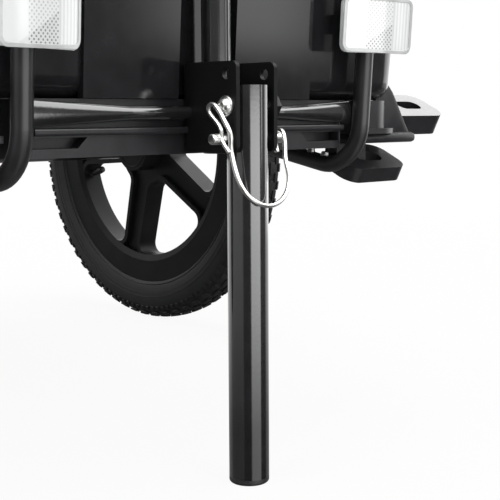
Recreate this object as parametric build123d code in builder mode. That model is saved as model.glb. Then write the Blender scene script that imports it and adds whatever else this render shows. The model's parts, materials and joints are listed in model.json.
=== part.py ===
"""Cargo bike trailer: tub in a tube cradle, folding parking leg, two wheels and a swan-neck drawbar.

Millimetres, +Z up, the ground at Z = 0. The trailer is pulled towards -Y, and +X is its left side.
It stands parked, with the leg down and both wheels on the ground.
"""
import os
from math import atan2, cos, radians, sin, tan

from build123d import *

# Parking leg and its bracket
LEG_DIAMETER = 26.0
LEG_WALL = 2.0
LEG_ABOVE_PIVOT = 13.0
PIVOT_HEIGHT = 242.0
PIVOT_DIAMETER = 8.0
RUNNING_CLEARANCE = 0.05
PIN_PITCH = 20.0
PIN_HOLE_DIAMETER = 7.2
FOOT_THICKNESS = 4.0
FOOT_PLUG = 16.0
PLATE_THICKNESS = 3.0
PLATE_GAP = 29.4
PLATE_FRONT = 9.0
PLATE_HEIGHT = 56.0
PLATE_ABOVE_PIVOT = 27.5
PLATE_CORNER = 4.0
BOLT_HEAD_DIAMETER = 13.0
BOLT_HEAD_HEIGHT = 5.0
BOLT_RIM = 1.5
BOLT_HEAD_TAPER = 40.0
NUT_WIDTH = 13.0
NUT_HEIGHT = 6.5

# Drawbar: the post in front of the tub, bent forward into the swan neck
POST_DIAMETER = 19.0
POST_SETBACK = 28.5
POST_FOOT = 215.0
NECK_CORNER = 590.0
NECK_RADIUS = 80.0
NECK_REACH = 546.0
NECK_END = 640.0
NECK_SEAT = 1.2

# Cradle of bent tube
RAIL_DIAMETER = 13.0
RAIL_INSET = 63.0
RAIL_TOP = 500.0
RAIL_CORNER = 193.0
RAIL_TOP_SETBACK = 12.5
RAIL_CORNER_SETBACK = 32.8
RAIL_SLOPE = 11.0
RAIL_FRONT_RADIUS = 32.0
RAIL_SLOPE_RADIUS = 120.0
RAIL_REAR_RADIUS = 26.0
REAR_CLEARANCE = 3.0
REAR_LEAN = 0.095
SEAT_GAP = 0.3
FLOOR_CROSS_FRONT_INSET = 40.0
FLOOR_CROSS_REAR_INSET = 90.0

# Cross tubes beside the bracket, pressed flat where they meet the uprights
CROSS_DIAMETER = 9.0
CROSS_HEIGHT = 238.0
CROSS_SETBACK = 36.2
CROSS_FLAT_HEIGHT = 16.0
CROSS_FLAT_THICKNESS = 5.0
CROSS_FLARE = 72.0

# Tub
TUB_FLOOR = 247.0
TUB_RIM = 515.0
TUB_WALL = 4.0
TUB_BASE_HALF = 207.0
TUB_SIDE_LEAN = 22.0
TUB_SETBACK = 41.0
TUB_FRONT_LEAN = 18.0
TUB_LENGTH = 599.0
TUB_REAR_LEAN = 25.0
TUB_BOTTOM_RADIUS = 14.0
TUB_CORNER_BASE = 30.0
TUB_CORNER_RIM = 45.0
TUB_LIP = 22.0
TUB_LIP_THICKNESS = 6.0
TUB_LIP_DROP = 16.0
TUB_LIP_EDGE = 3.0
PANEL_PROUD = 3.0
PANEL_MARGIN = 22.0
FRONT_PANEL_HALF = 97.0
SIDE_PANEL_COUNT = 4
SIDE_PANEL_WIDTH = 96.0
SIDE_PANEL_PITCH = 124.0
REAR_PANEL_WIDTH = 100.0
REAR_PANEL_OFFSET = 72.0
CHANNEL_HALF = 24.0
CHANNEL_SETBACK = 46.0

# Sill under the tub's front edge
SILL_CLEARANCE = 1.5
SILL_BOTTOM = 212.0
SILL_DEPTH = 30.0
SILL_ROUND = 3.0
SILL_LEDGE = 6.0
SILL_LEDGE_TOP = 229.6
SILL_LEDGE_HEIGHT = 4.5
SILL_LEDGE_ROUND = 1.6
POCKET_WIDTH = 40.0
POCKET_SLANT = 7.0
POCKET_HEIGHT = 6.5
POCKET_RISE = 5.5
POCKET_DEPTH = 9.0
POCKET_END = 4.0

# Feet under the tub's front corners, each with a gusset and two lashing ears
FOOT_BLOCK_LENGTH = 96.0
FOOT_BLOCK_DROP = 25.0
FOOT_RAIL_CLEARANCE = 2.0
FLANGE_REACH = 7.0
FLANGE_THICKNESS = 4.0
GUSSET_REACH = 24.0
GUSSET_THICKNESS = 4.0
GUSSET_SETBACK = 26.0
GUSSET_HOLLOW = 3.0
EAR_REACH = 82.0
EAR_WIDTH = 40.0
EAR_THICKNESS = 17.0
EAR_CORNER = 13.0
EAR_TILT = 26.0
EAR_SETBACK = 34.0
EAR_DROP = 3.0
EAR_SLOT = 14.0
EAR_CLEARANCE = 3.0
EAR_SLOT_END = 30.0
LOWER_EAR_REACH = 14.0
LOWER_EAR_DROP = 43.0
LOWER_EAR_THICKNESS = 12.0
LOWER_EAR_SETBACK = 20.0
HANGER_WIDTH = 34.0
HANGER_DEPTH = 12.0

# Wheels
WHEEL_RADIUS = 200.0
WHEEL_X = 328.0
AXLE_SETBACK = 505.0
TYRE_WIDTH = 40.0
RIM_RADIUS = 157.0
RIM_WIDTH = 30.0
RIM_INNER_RADIUS = 126.0
RIM_FLANGE = 3.0
RIM_WELL = 7.0
WEB_THICKNESS = 12.0
WINDOW_LIP = 5.0
WINDOW_LIP_HEIGHT = 24.0
TREAD_SHOULDER = 8.0
TREAD_INSET = 2.0
HUB_RADIUS = 27.0
HUB_WIDTH = 60.0
SPOKE_COUNT = 5
HUB_RING_RADIUS = 44.0
SPOKE_ROOT_WIDTH = 34.0
SPOKE_TIP_WIDTH = 28.0
SPOKE_CORNER = 11.0
SPOKE_PHASE = 13.5
STUB_DIAMETER = 10.0
BEAM_DIAMETER = 25.0
BEAM_HALF = 277.0
SHOULDER_DIAMETER = 18.0
AXLE_NUT_WIDTH = 17.0
AXLE_NUT_HEIGHT = 8.0
HUB_GAP = 0.5
STUB_THREAD = 3.0
SADDLE_WIDTH = 26.0
SADDLE_LENGTH = 34.0
SADDLE_CORNER = 3.0

# Reflectors
REFLECTOR_WIDTH = 62.0
REFLECTOR_HEIGHT = 39.0
REFLECTOR_DEPTH = 6.5
REFLECTOR_CORNER = 6.0
REFLECTOR_CENTRE = 300.5
REFLECTOR_RIGHT_DROP = 7.0
REFLECTOR_BOW = 130.0
REFLECTOR_TOE = 12.0
CLAMP_WALL = 3.0
CLAMP_HEIGHT = 14.0
CLAMP_PAD = 1.0

# Hitch that grips a seat post
EYE_DIAMETER = 30.0
EYE_HEIGHT = 34.0
YAW_PIN_DIAMETER = 12.0
HITCH_AXIAL_GAP = 0.3
KNUCKLE_PLATE = 6.0
KNUCKLE_WIDTH = 32.0
KNUCKLE_REACH = 40.0
KNUCKLE_WALL = 7.0
KNUCKLE_CLEARANCE = 2.0
PIN_END = 3.0
PITCH_PIN_DIAMETER = 10.0
LUG_THICKNESS = 16.0
LUG_RADIUS = 13.0
FORK_EAR = 6.0
FORK_REACH = 45.0
POST_CLAMP_BORE = 28.6
POST_CLAMP_WALL = 7.0
POST_CLAMP_HEIGHT = 40.0
POST_CLAMP_SPLIT = 0.6
POST_CLAMP_EAR = 12.0

SIDES = (("left", 1), ("right", -1))


def bent_tube(points, radii, diameter):
    """Round bar along straight runs joined by tangent arcs."""
    with BuildPart() as bent:
        with BuildLine() as path:
            FilletPolyline(*points, radius=radii)
        with BuildSketch(Plane(origin=path.line @ 0, z_dir=path.line % 0)):
            Circle(diameter / 2)
        sweep(path=path.line)
    return bent.part


def straight_tube(start, end, diameter):
    """Round bar between two points."""
    with BuildPart() as bar:
        with BuildLine() as path:
            Line(start, end)
        with BuildSketch(Plane(origin=start, z_dir=path.line % 0)):
            Circle(diameter / 2)
        sweep(path=path.line)
    return bar.part


def save(part, name):
    """Label a finished piece and write it under its own name."""
    part.label = name
    export_step(part, f"parts/{name}.step")


os.makedirs("parts", exist_ok=True)

# Levels and places that follow from the driving dimensions
clamp_outer = POST_CLAMP_BORE / 2 + POST_CLAMP_WALL
hitch_reach = NECK_SEAT + EYE_DIAMETER / 2 + KNUCKLE_REACH + FORK_REACH + clamp_outer
rear_reach = max(TUB_SETBACK + TUB_LENGTH + TUB_REAR_LEAN + TUB_LIP, AXLE_SETBACK + WHEEL_RADIUS)
leg_y = (NECK_REACH + hitch_reach - rear_reach) / 2
post_y = leg_y + POST_SETBACK
neck_end_y = leg_y - NECK_REACH
axle_y = leg_y + AXLE_SETBACK
cross_y = leg_y + CROSS_SETBACK
tub_front_y = leg_y + TUB_SETBACK
tub_rear_y = tub_front_y + TUB_LENGTH
channel_back_y = leg_y + CHANNEL_SETBACK
rail_x = TUB_BASE_HALF - RAIL_INSET
rail_top_y = leg_y + RAIL_TOP_SETBACK
rail_corner_y = leg_y + RAIL_CORNER_SETBACK
rail_radius = RAIL_DIAMETER / 2
rail_level = TUB_FLOOR - rail_radius - SEAT_GAP
upright_top = RAIL_TOP - rail_radius - SEAT_GAP
rail_lean = (rail_corner_y - rail_top_y) / (upright_top - RAIL_CORNER)
rail_level_y = rail_corner_y + (rail_level - RAIL_CORNER) / tan(radians(RAIL_SLOPE))
rear_corner_y = tub_rear_y + rail_radius + REAR_CLEARANCE
rear_top_y = rear_corner_y + REAR_LEAN * (upright_top - rail_level)
plate_top = PIVOT_HEIGHT + PLATE_ABOVE_PIVOT
plate_bottom = plate_top - PLATE_HEIGHT
plate_outer = PLATE_GAP / 2 + PLATE_THICKNESS
web_inner_y = post_y + POST_DIAMETER / 2 + SEAT_GAP
web_outer_y = web_inner_y + PLATE_THICKNESS
plate_front_y = leg_y - PLATE_FRONT


def upright_y(height):
    """Y of a front upright's axis at a height above its bend."""
    return rail_top_y + rail_lean * (upright_top - height)


def rear_upright_y(height):
    """Y of a rear upright's axis at a height above its bend."""
    return rear_corner_y + REAR_LEAN * (height - rail_level)


# Side rails: front upright, hook bend, rising run, level run under the floor and rear upright
for side, sign in SIDES:
    x = sign * rail_x
    rail = bent_tube(
        [
            (x, rail_top_y, upright_top),
            (x, rail_corner_y, RAIL_CORNER),
            (x, rail_level_y, rail_level),
            (x, rear_corner_y, rail_level),
            (x, rear_top_y, upright_top),
        ],
        [RAIL_FRONT_RADIUS, RAIL_SLOPE_RADIUS, RAIL_REAR_RADIUS],
        RAIL_DIAMETER,
    )
    save(rail, f"side_rail_{side}")

# Top bars over the uprights, front and rear
bar_half = rail_x + rail_radius
for place, y in (("front", rail_top_y), ("rear", rear_top_y)):
    bar = straight_tube((-bar_half, y, RAIL_TOP), (bar_half, y, RAIL_TOP), RAIL_DIAMETER)
    save(bar, f"top_bar_{place}")

# Floor cross tubes between the rails
cross_half = rail_x - rail_radius - SEAT_GAP
floor_cross_front_y = rail_level_y + FLOOR_CROSS_FRONT_INSET
floor_cross_rear_y = rear_corner_y - FLOOR_CROSS_REAR_INSET
for place, y in (("front", floor_cross_front_y), ("rear", floor_cross_rear_y)):
    bar = straight_tube((-cross_half, y, rail_level), (cross_half, y, rail_level), RAIL_DIAMETER)
    save(bar, f"floor_cross_{place}")

# Front cross tubes, round at the bracket and pressed flat at the uprights
flat_end = rail_x - rail_radius - SEAT_GAP
for side, sign in SIDES:
    inner_end = plate_outer + SEAT_GAP
    with BuildPart() as cross_tube:
        with BuildSketch(Plane((sign * inner_end, cross_y, CROSS_HEIGHT), (0, 1, 0), (sign, 0, 0))):
            Circle(CROSS_DIAMETER / 2)
        extrude(amount=flat_end - CROSS_FLARE - inner_end)
        with BuildSketch(faces().sort_by(Axis.X)[-1 if sign > 0 else 0]) as round_end:
            Circle(CROSS_DIAMETER / 2)
        with BuildSketch(Plane((sign * flat_end, cross_y, CROSS_HEIGHT), (0, 1, 0), (sign, 0, 0))):
            Ellipse(CROSS_FLAT_THICKNESS / 2, CROSS_FLAT_HEIGHT / 2)
        loft()
    save(cross_tube.part, f"cross_tube_{side}")

# Axle beam on two saddles under the rails
beam = straight_tube((-BEAM_HALF, axle_y, WHEEL_RADIUS), (BEAM_HALF, axle_y, WHEEL_RADIUS), BEAM_DIAMETER)
save(beam, "axle_beam")
for side, sign in SIDES:
    with BuildPart() as saddle:
        with BuildSketch(Plane.YZ.offset(sign * rail_x - SADDLE_WIDTH / 2)):
            with Locations((axle_y, (WHEEL_RADIUS + rail_level) / 2)):
                RectangleRounded(SADDLE_LENGTH, rail_level - WHEEL_RADIUS, SADDLE_CORNER)
        extrude(amount=SADDLE_WIDTH)
        with Locations(Location((sign * rail_x, axle_y, WHEEL_RADIUS), (0, 90, 0))):
            Cylinder(BEAM_DIAMETER / 2 + RUNNING_CLEARANCE, 2 * SADDLE_WIDTH, mode=Mode.SUBTRACT)
        with Locations(Location((sign * rail_x, axle_y, rail_level), (90, 0, 0))):
            Cylinder(rail_radius + RUNNING_CLEARANCE, 2 * SADDLE_LENGTH, mode=Mode.SUBTRACT)
    save(saddle.part, f"axle_saddle_{side}")

# Tub: drafted shell, with a channel in its front wall for the post
rim_height = TUB_RIM - TUB_FLOOR


def tub_outline(share, inset):
    """Width, length, centre Y and corner radius of the tub at a share of its height."""
    half = TUB_BASE_HALF + share * TUB_SIDE_LEAN - inset
    front = tub_front_y - share * TUB_FRONT_LEAN + inset
    rear = tub_rear_y + share * TUB_REAR_LEAN - inset
    corner = TUB_CORNER_BASE + share * (TUB_CORNER_RIM - TUB_CORNER_BASE) - inset
    return 2 * half, rear - front, (front + rear) / 2, corner


channel_depth = CHANNEL_SETBACK - TUB_SETBACK + TUB_FRONT_LEAN + TUB_LIP
with BuildPart() as cavity:
    for share, height in ((TUB_WALL / rim_height, TUB_FLOOR + TUB_WALL), (1, TUB_RIM)):
        width, length, centre, corner = tub_outline(share, TUB_WALL)
        with BuildSketch(Plane.XY.offset(height)):
            with Locations((0, centre)):
                RectangleRounded(width, length, corner)
    loft()
    fillet(edges().group_by(Axis.Z)[0], TUB_BOTTOM_RADIUS - TUB_WALL)
    with Locations((0, channel_back_y + TUB_WALL, TUB_FLOOR)):
        Box(
            2 * (CHANNEL_HALF + TUB_WALL), 2 * channel_depth, 3 * rim_height,
            align=(Align.CENTER, Align.MAX, Align.CENTER), mode=Mode.SUBTRACT,
        )

with BuildPart() as tub:
    for share, height in ((0, TUB_FLOOR), (1, TUB_RIM)):
        width, length, centre, corner = tub_outline(share, 0)
        with BuildSketch(Plane.XY.offset(height)):
            with Locations((0, centre)):
                RectangleRounded(width, length, corner)
    loft()
    fillet(edges().group_by(Axis.Z)[0], TUB_BOTTOM_RADIUS)
    width, length, centre, corner = tub_outline(1, -TUB_LIP)
    with BuildSketch(Plane.XY.offset(TUB_RIM - TUB_LIP_THICKNESS)):
        with Locations((0, centre)):
            RectangleRounded(width, length, corner)
    extrude(amount=TUB_LIP_THICKNESS)
    with BuildSketch(Plane.XY.offset(TUB_RIM - TUB_LIP_DROP)):
        with Locations((0, centre)):
            RectangleRounded(width, length, corner)
            RectangleRounded(
                width - 2 * TUB_LIP_EDGE, length - 2 * TUB_LIP_EDGE, corner - TUB_LIP_EDGE, mode=Mode.SUBTRACT
            )
    extrude(amount=TUB_LIP_DROP)
    panel_shares = (PANEL_MARGIN / rim_height, 1 - PANEL_MARGIN / rim_height)
    for sign in (-1, 1):
        for place in range(SIDE_PANEL_COUNT):
            along = (tub_front_y + tub_rear_y) / 2 + (place - (SIDE_PANEL_COUNT - 1) / 2) * SIDE_PANEL_PITCH
            for share in panel_shares:
                width = tub_outline(share, 0)[0]
                with BuildSketch(Plane.XY.offset(TUB_FLOOR + share * rim_height)):
                    with Locations((sign * width / 2, along)):
                        Rectangle(2 * PANEL_PROUD, SIDE_PANEL_WIDTH)
            loft()
        for share in panel_shares:
            width, length, centre, corner = tub_outline(share, 0)
            with BuildSketch(Plane.XY.offset(TUB_FLOOR + share * rim_height)):
                with Locations((sign * REAR_PANEL_OFFSET, centre + length / 2)):
                    Rectangle(REAR_PANEL_WIDTH, 2 * PANEL_PROUD)
        loft()
    for share in (0, panel_shares[1]):
        width, length, centre, corner = tub_outline(share, 0)
        with BuildSketch(Plane.XY.offset(TUB_FLOOR + share * rim_height)):
            with Locations((0, centre - length / 2)):
                Rectangle(2 * FRONT_PANEL_HALF, 2 * PANEL_PROUD)
    loft()
    add(cavity.part, mode=Mode.SUBTRACT)
    with Locations((0, channel_back_y, TUB_FLOOR)):
        Box(
            2 * CHANNEL_HALF, 2 * channel_depth, 3 * rim_height,
            align=(Align.CENTER, Align.MAX, Align.CENTER), mode=Mode.SUBTRACT,
        )
save(tub.part, "tub")

# Sill under the tub's front edge, with a ledge and a slant-ended pocket on each side of the bracket
sill_half = rail_x - rail_radius - SILL_CLEARANCE
sill_height = TUB_FLOOR - SEAT_GAP - SILL_BOTTOM
sill_front_y = web_outer_y + SEAT_GAP
ledge_inner = plate_outer + SEAT_GAP
pocket_outer = sill_half - POCKET_END
pocket_floor = SILL_BOTTOM + POCKET_RISE
with BuildPart() as sill:
    with Locations((0, sill_front_y, SILL_BOTTOM)):
        Box(2 * sill_half, SILL_DEPTH, sill_height, align=(Align.CENTER, Align.MIN, Align.MIN))
    fillet(edges().filter_by(Axis.Z), SILL_ROUND)
    for sign in (-1, 1):
        with Locations((sign * (ledge_inner + pocket_outer) / 2, sill_front_y - SILL_LEDGE, SILL_LEDGE_TOP)):
            Box(
                pocket_outer - ledge_inner, 2 * SILL_LEDGE, SILL_LEDGE_HEIGHT,
                align=(Align.CENTER, Align.MIN, Align.MAX),
            )
    fillet(edges().filter_by(Axis.X).group_by(Axis.Y)[0], SILL_LEDGE_ROUND)
    for sign in (-1, 1):
        with BuildSketch(Plane.XZ.offset(-sill_front_y - POCKET_DEPTH)):
            with BuildLine():
                Polyline(
                    (sign * pocket_outer, pocket_floor),
                    (sign * pocket_outer, pocket_floor + POCKET_HEIGHT),
                    (sign * (pocket_outer - POCKET_WIDTH), pocket_floor + POCKET_HEIGHT),
                    (sign * (pocket_outer - POCKET_WIDTH + POCKET_SLANT), pocket_floor),
                    close=True,
                )
            make_face()
        extrude(amount=POCKET_DEPTH, mode=Mode.SUBTRACT)
save(sill.part, "front_sill")

# Feet under the tub's front corners: block, flange, gusset and two lashing ears
foot_top = TUB_FLOOR - SEAT_GAP
foot_bottom = foot_top - FOOT_BLOCK_DROP
foot_inner = rail_x + rail_radius + FOOT_RAIL_CLEARANCE
foot_drop_to_ear = LOWER_EAR_DROP - FOOT_BLOCK_DROP + LOWER_EAR_THICKNESS / 2
width, length, centre, corner = tub_outline(0, TUB_WALL / 2)
for side, sign in SIDES:
    with BuildPart() as foot_block:
        for reach, height in ((0, FOOT_BLOCK_DROP), (FLANGE_REACH, FLANGE_THICKNESS)):
            with BuildSketch(Plane.XY.offset(foot_bottom)):
                with Locations((0, centre)):
                    RectangleRounded(width + 2 * reach, length + 2 * reach, corner + reach)
                with Locations((sign * foot_inner, tub_front_y + FOOT_BLOCK_LENGTH)):
                    Rectangle(
                        TUB_BASE_HALF, TUB_LENGTH, mode=Mode.INTERSECT,
                        align=(Align.MIN if sign > 0 else Align.MAX, Align.MAX),
                    )
            extrude(amount=height)
        wall = width / 2 - FLANGE_THICKNESS / 2
        toe = width / 2 + GUSSET_REACH
        gusset_middle = (toe + width / 2) / 2 - GUSSET_HOLLOW
        with BuildSketch(Plane.XZ.offset(-tub_front_y - GUSSET_SETBACK)):
            with BuildLine():
                Line((sign * wall, foot_bottom), (sign * toe, foot_bottom))
                Line((sign * toe, foot_bottom), (sign * toe, foot_bottom + FLANGE_THICKNESS))
                ThreePointArc(
                    (sign * toe, foot_bottom + FLANGE_THICKNESS),
                    (sign * gusset_middle, (foot_bottom + foot_top) / 2 - GUSSET_HOLLOW),
                    (sign * width / 2, foot_top),
                )
                Line((sign * width / 2, foot_top), (sign * wall, foot_top))
                Line((sign * wall, foot_top), (sign * wall, foot_bottom))
            make_face()
        extrude(amount=GUSSET_THICKNESS)
        for ear_inner_x, reach, drop, setback, thickness in (
            (TUB_BASE_HALF + EAR_CLEARANCE, EAR_REACH, EAR_DROP, EAR_SETBACK, EAR_THICKNESS),
            (foot_inner, LOWER_EAR_REACH, LOWER_EAR_DROP, LOWER_EAR_SETBACK, LOWER_EAR_THICKNESS),
        ):
            ear_plane = Plane((0, tub_front_y + setback, foot_top - drop)).rotated((EAR_TILT, 0, 0))
            ear_outer_x = width / 2 + reach
            with BuildSketch(ear_plane):
                with Locations((sign * (ear_inner_x + ear_outer_x) / 2, 0)):
                    RectangleRounded(ear_outer_x - ear_inner_x, EAR_WIDTH, EAR_CORNER)
                with Locations((sign * (ear_outer_x - EAR_SLOT_END), 0)):
                    SlotOverall(2 * EAR_SLOT, EAR_SLOT, mode=Mode.SUBTRACT)
            extrude(amount=-thickness)
        with Locations((sign * foot_inner, tub_front_y + LOWER_EAR_SETBACK, foot_bottom)):
            Box(
                HANGER_WIDTH, HANGER_DEPTH, foot_drop_to_ear,
                align=(Align.MIN if sign > 0 else Align.MAX, Align.MIN, Align.MAX),
            )
    save(foot_block.part, f"side_skirt_{side}")

# Drawbar: post and swan neck in one bent tube, with the eye of the hitch at its end
drawbar = bent_tube(
    [(0, post_y, POST_FOOT), (0, post_y, NECK_CORNER), (0, neck_end_y, NECK_END)],
    NECK_RADIUS,
    POST_DIAMETER,
)
save(drawbar, "drawbar")

# Stand bracket: a U of plate round the post, with pivot and pin holes through both sides
with BuildPart() as bracket:
    with BuildSketch(Plane.XY.offset(plate_bottom)):
        with BuildLine():
            Polyline(
                (-plate_outer, plate_front_y),
                (-plate_outer, web_outer_y),
                (plate_outer, web_outer_y),
                (plate_outer, plate_front_y),
                (PLATE_GAP / 2, plate_front_y),
                (PLATE_GAP / 2, web_inner_y),
                (-PLATE_GAP / 2, web_inner_y),
                (-PLATE_GAP / 2, plate_front_y),
                close=True,
            )
        make_face()
    extrude(amount=PLATE_HEIGHT)
    fillet(edges().filter_by(Axis.X).group_by(Axis.Y)[0], PLATE_CORNER)
    fillet(edges().filter_by(Axis.Z).group_by(Axis.Y)[-1], PLATE_THICKNESS)
    with Locations(Location((0, leg_y, PIVOT_HEIGHT), (0, 90, 0))):
        Cylinder(PIVOT_DIAMETER / 2 + RUNNING_CLEARANCE, 4 * plate_outer, mode=Mode.SUBTRACT)
    for step in (-PIN_PITCH, PIN_PITCH):
        with Locations(Location((0, leg_y, PIVOT_HEIGHT + step), (0, 90, 0))):
            Cylinder(PIN_HOLE_DIAMETER / 2, 4 * plate_outer, mode=Mode.SUBTRACT)
save(bracket.part, "stand_bracket")

# Pivot bolt of the stand: domed head on the right, nut on the left
bolt_length = 2 * plate_outer + NUT_HEIGHT + BOLT_RIM
with BuildPart() as bolt:
    with Locations(Location((bolt_length - plate_outer, leg_y, PIVOT_HEIGHT), (0, -90, 0))):
        Cylinder(PIVOT_DIAMETER / 2, bolt_length, align=(Align.CENTER, Align.CENTER, Align.MIN))
    head_plane = Plane((-plate_outer, leg_y, PIVOT_HEIGHT), (0, 1, 0), (-1, 0, 0))
    with BuildSketch(head_plane):
        Circle(BOLT_HEAD_DIAMETER / 2)
    extrude(amount=BOLT_RIM)
    with BuildSketch(head_plane.offset(BOLT_RIM)):
        Circle(BOLT_HEAD_DIAMETER / 2)
    extrude(amount=BOLT_HEAD_HEIGHT - BOLT_RIM, taper=BOLT_HEAD_TAPER)
    with BuildSketch(Plane((plate_outer, leg_y, PIVOT_HEIGHT), (0, 1, 0), (1, 0, 0))):
        RegularPolygon(NUT_WIDTH / 2, 6, major_radius=False)
    extrude(amount=NUT_HEIGHT)
save(bolt.part, "stand_pivot_bolt")

# Parking leg: tube with a foot plug, holes for the pivot and for the lock pin
with BuildPart() as leg:
    leg_top = PIVOT_HEIGHT + LEG_ABOVE_PIVOT
    with BuildSketch(Plane((0, leg_y, FOOT_THICKNESS))):
        Circle(LEG_DIAMETER / 2)
        Circle(LEG_DIAMETER / 2 - LEG_WALL, mode=Mode.SUBTRACT)
    extrude(amount=leg_top - FOOT_THICKNESS)
    with Locations(Location((0, leg_y, PIVOT_HEIGHT), (0, 90, 0))):
        Cylinder(PIVOT_DIAMETER / 2 + RUNNING_CLEARANCE, 2 * LEG_DIAMETER, mode=Mode.SUBTRACT)
    with Locations(Location((0, leg_y, PIVOT_HEIGHT - PIN_PITCH), (0, 90, 0))):
        Cylinder(PIN_HOLE_DIAMETER / 2, 2 * LEG_DIAMETER, mode=Mode.SUBTRACT)
save(leg.part, "stand_leg")

with BuildPart() as foot:
    with BuildSketch(Plane((0, leg_y, 0))):
        Circle(LEG_DIAMETER / 2)
    extrude(amount=FOOT_THICKNESS)
    fillet(edges().sort_by(Axis.Z)[0], FOOT_THICKNESS / 2)
    with BuildSketch(Plane((0, leg_y, FOOT_THICKNESS))):
        Circle(LEG_DIAMETER / 2 - LEG_WALL - RUNNING_CLEARANCE)
    extrude(amount=FOOT_PLUG)
save(foot.part, "stand_foot")

# Wheels: moulded rim with its spokes and hub, tyre, and the stub axle that carries them
with BuildSketch() as windows:
    Circle(RIM_INNER_RADIUS)
    Circle(HUB_RING_RADIUS, mode=Mode.SUBTRACT)
    for spoke in range(SPOKE_COUNT):
        turn = SPOKE_PHASE - 90 + spoke * 360 / SPOKE_COUNT
        with Locations(Location((0, 0, 0), turn)):
            Polygon(
                (0, -SPOKE_ROOT_WIDTH / 2), (RIM_RADIUS, -SPOKE_TIP_WIDTH / 2),
                (RIM_RADIUS, SPOKE_TIP_WIDTH / 2), (0, SPOKE_ROOT_WIDTH / 2),
                align=None, mode=Mode.SUBTRACT,
            )
    fillet(windows.vertices(), SPOKE_CORNER)

for side, sign in SIDES:
    middle = sign * WHEEL_X
    wheel_plane = Plane((middle, axle_y, WHEEL_RADIUS), (0, 1, 0), (1, 0, 0))
    axle_axis = Axis((middle, axle_y, WHEEL_RADIUS), (1, 0, 0))
    section_plane = Plane((middle, axle_y, WHEEL_RADIUS), (1, 0, 0), (0, -1, 0))
    half_rim = RIM_WIDTH / 2
    well_radius = RIM_RADIUS - RIM_WELL
    with BuildPart() as rim:
        with BuildSketch(section_plane):
            with BuildLine():
                Polyline(
                    (-half_rim, RIM_INNER_RADIUS + RIM_WELL),
                    (-half_rim, RIM_RADIUS),
                    (RIM_FLANGE - half_rim, RIM_RADIUS),
                    (RIM_FLANGE - half_rim, well_radius),
                    (half_rim - RIM_FLANGE, well_radius),
                    (half_rim - RIM_FLANGE, RIM_RADIUS),
                    (half_rim, RIM_RADIUS),
                    (half_rim, RIM_INNER_RADIUS + RIM_WELL),
                    (WINDOW_LIP_HEIGHT / 2, RIM_INNER_RADIUS),
                    (-WINDOW_LIP_HEIGHT / 2, RIM_INNER_RADIUS),
                    close=True,
                )
            make_face()
        revolve(axis=axle_axis)
        with BuildSketch(wheel_plane):
            Circle(RIM_INNER_RADIUS + RIM_WELL)
        extrude(amount=WEB_THICKNESS / 2, both=True)
        with BuildSketch(wheel_plane):
            add(windows.sketch)
            offset(amount=WINDOW_LIP)
        extrude(amount=WINDOW_LIP_HEIGHT / 2, both=True)
        with BuildSketch(wheel_plane):
            add(windows.sketch)
        extrude(amount=WINDOW_LIP_HEIGHT, both=True, mode=Mode.SUBTRACT)
        with BuildSketch(wheel_plane):
            Circle(HUB_RADIUS)
        extrude(amount=HUB_WIDTH / 2, both=True)
        with BuildSketch(wheel_plane):
            Circle(STUB_DIAMETER / 2 + RUNNING_CLEARANCE)
        extrude(amount=HUB_WIDTH, both=True, mode=Mode.SUBTRACT)
    save(rim.part, f"wheel_rim_{side}")

    with BuildPart() as tyre:
        with BuildSketch(section_plane):
            neck = half_rim - RIM_FLANGE - SEAT_GAP
            seat = RIM_RADIUS + SEAT_GAP
            bead = well_radius + SEAT_GAP
            shoulder = half_rim - TREAD_INSET
            shoulder_radius = WHEEL_RADIUS - TREAD_SHOULDER
            belly = (RIM_RADIUS + WHEEL_RADIUS) / 2
            with BuildLine():
                Line((-neck, bead), (neck, bead))
                Line((neck, bead), (neck, seat))
                Line((neck, seat), (half_rim, seat))
                ThreePointArc((half_rim, seat), (TYRE_WIDTH / 2, belly), (shoulder, shoulder_radius))
                ThreePointArc((shoulder, shoulder_radius), (0, WHEEL_RADIUS), (-shoulder, shoulder_radius))
                ThreePointArc((-shoulder, shoulder_radius), (-TYRE_WIDTH / 2, belly), (-half_rim, seat))
                Line((-half_rim, seat), (-neck, seat))
                Line((-neck, seat), (-neck, bead))
            make_face()
        revolve(axis=axle_axis)
    save(tyre.part, f"tyre_{side}")

    hub_inner = WHEEL_X - HUB_WIDTH / 2 - HUB_GAP
    hub_outer = WHEEL_X + HUB_WIDTH / 2 + HUB_GAP
    stub_plane = Plane((sign * BEAM_HALF, axle_y, WHEEL_RADIUS), (0, 1, 0), (sign, 0, 0))
    with BuildPart() as stub:
        with BuildSketch(stub_plane):
            Circle(SHOULDER_DIAMETER / 2)
        extrude(amount=hub_inner - BEAM_HALF)
        with BuildSketch(stub_plane):
            Circle(STUB_DIAMETER / 2)
        extrude(amount=hub_outer + AXLE_NUT_HEIGHT + STUB_THREAD - BEAM_HALF)
        with BuildSketch(stub_plane.offset(hub_outer - BEAM_HALF)):
            RegularPolygon(AXLE_NUT_WIDTH / 2, 6, major_radius=False)
        extrude(amount=AXLE_NUT_HEIGHT)
    save(stub.part, f"stub_axle_{side}")

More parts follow.
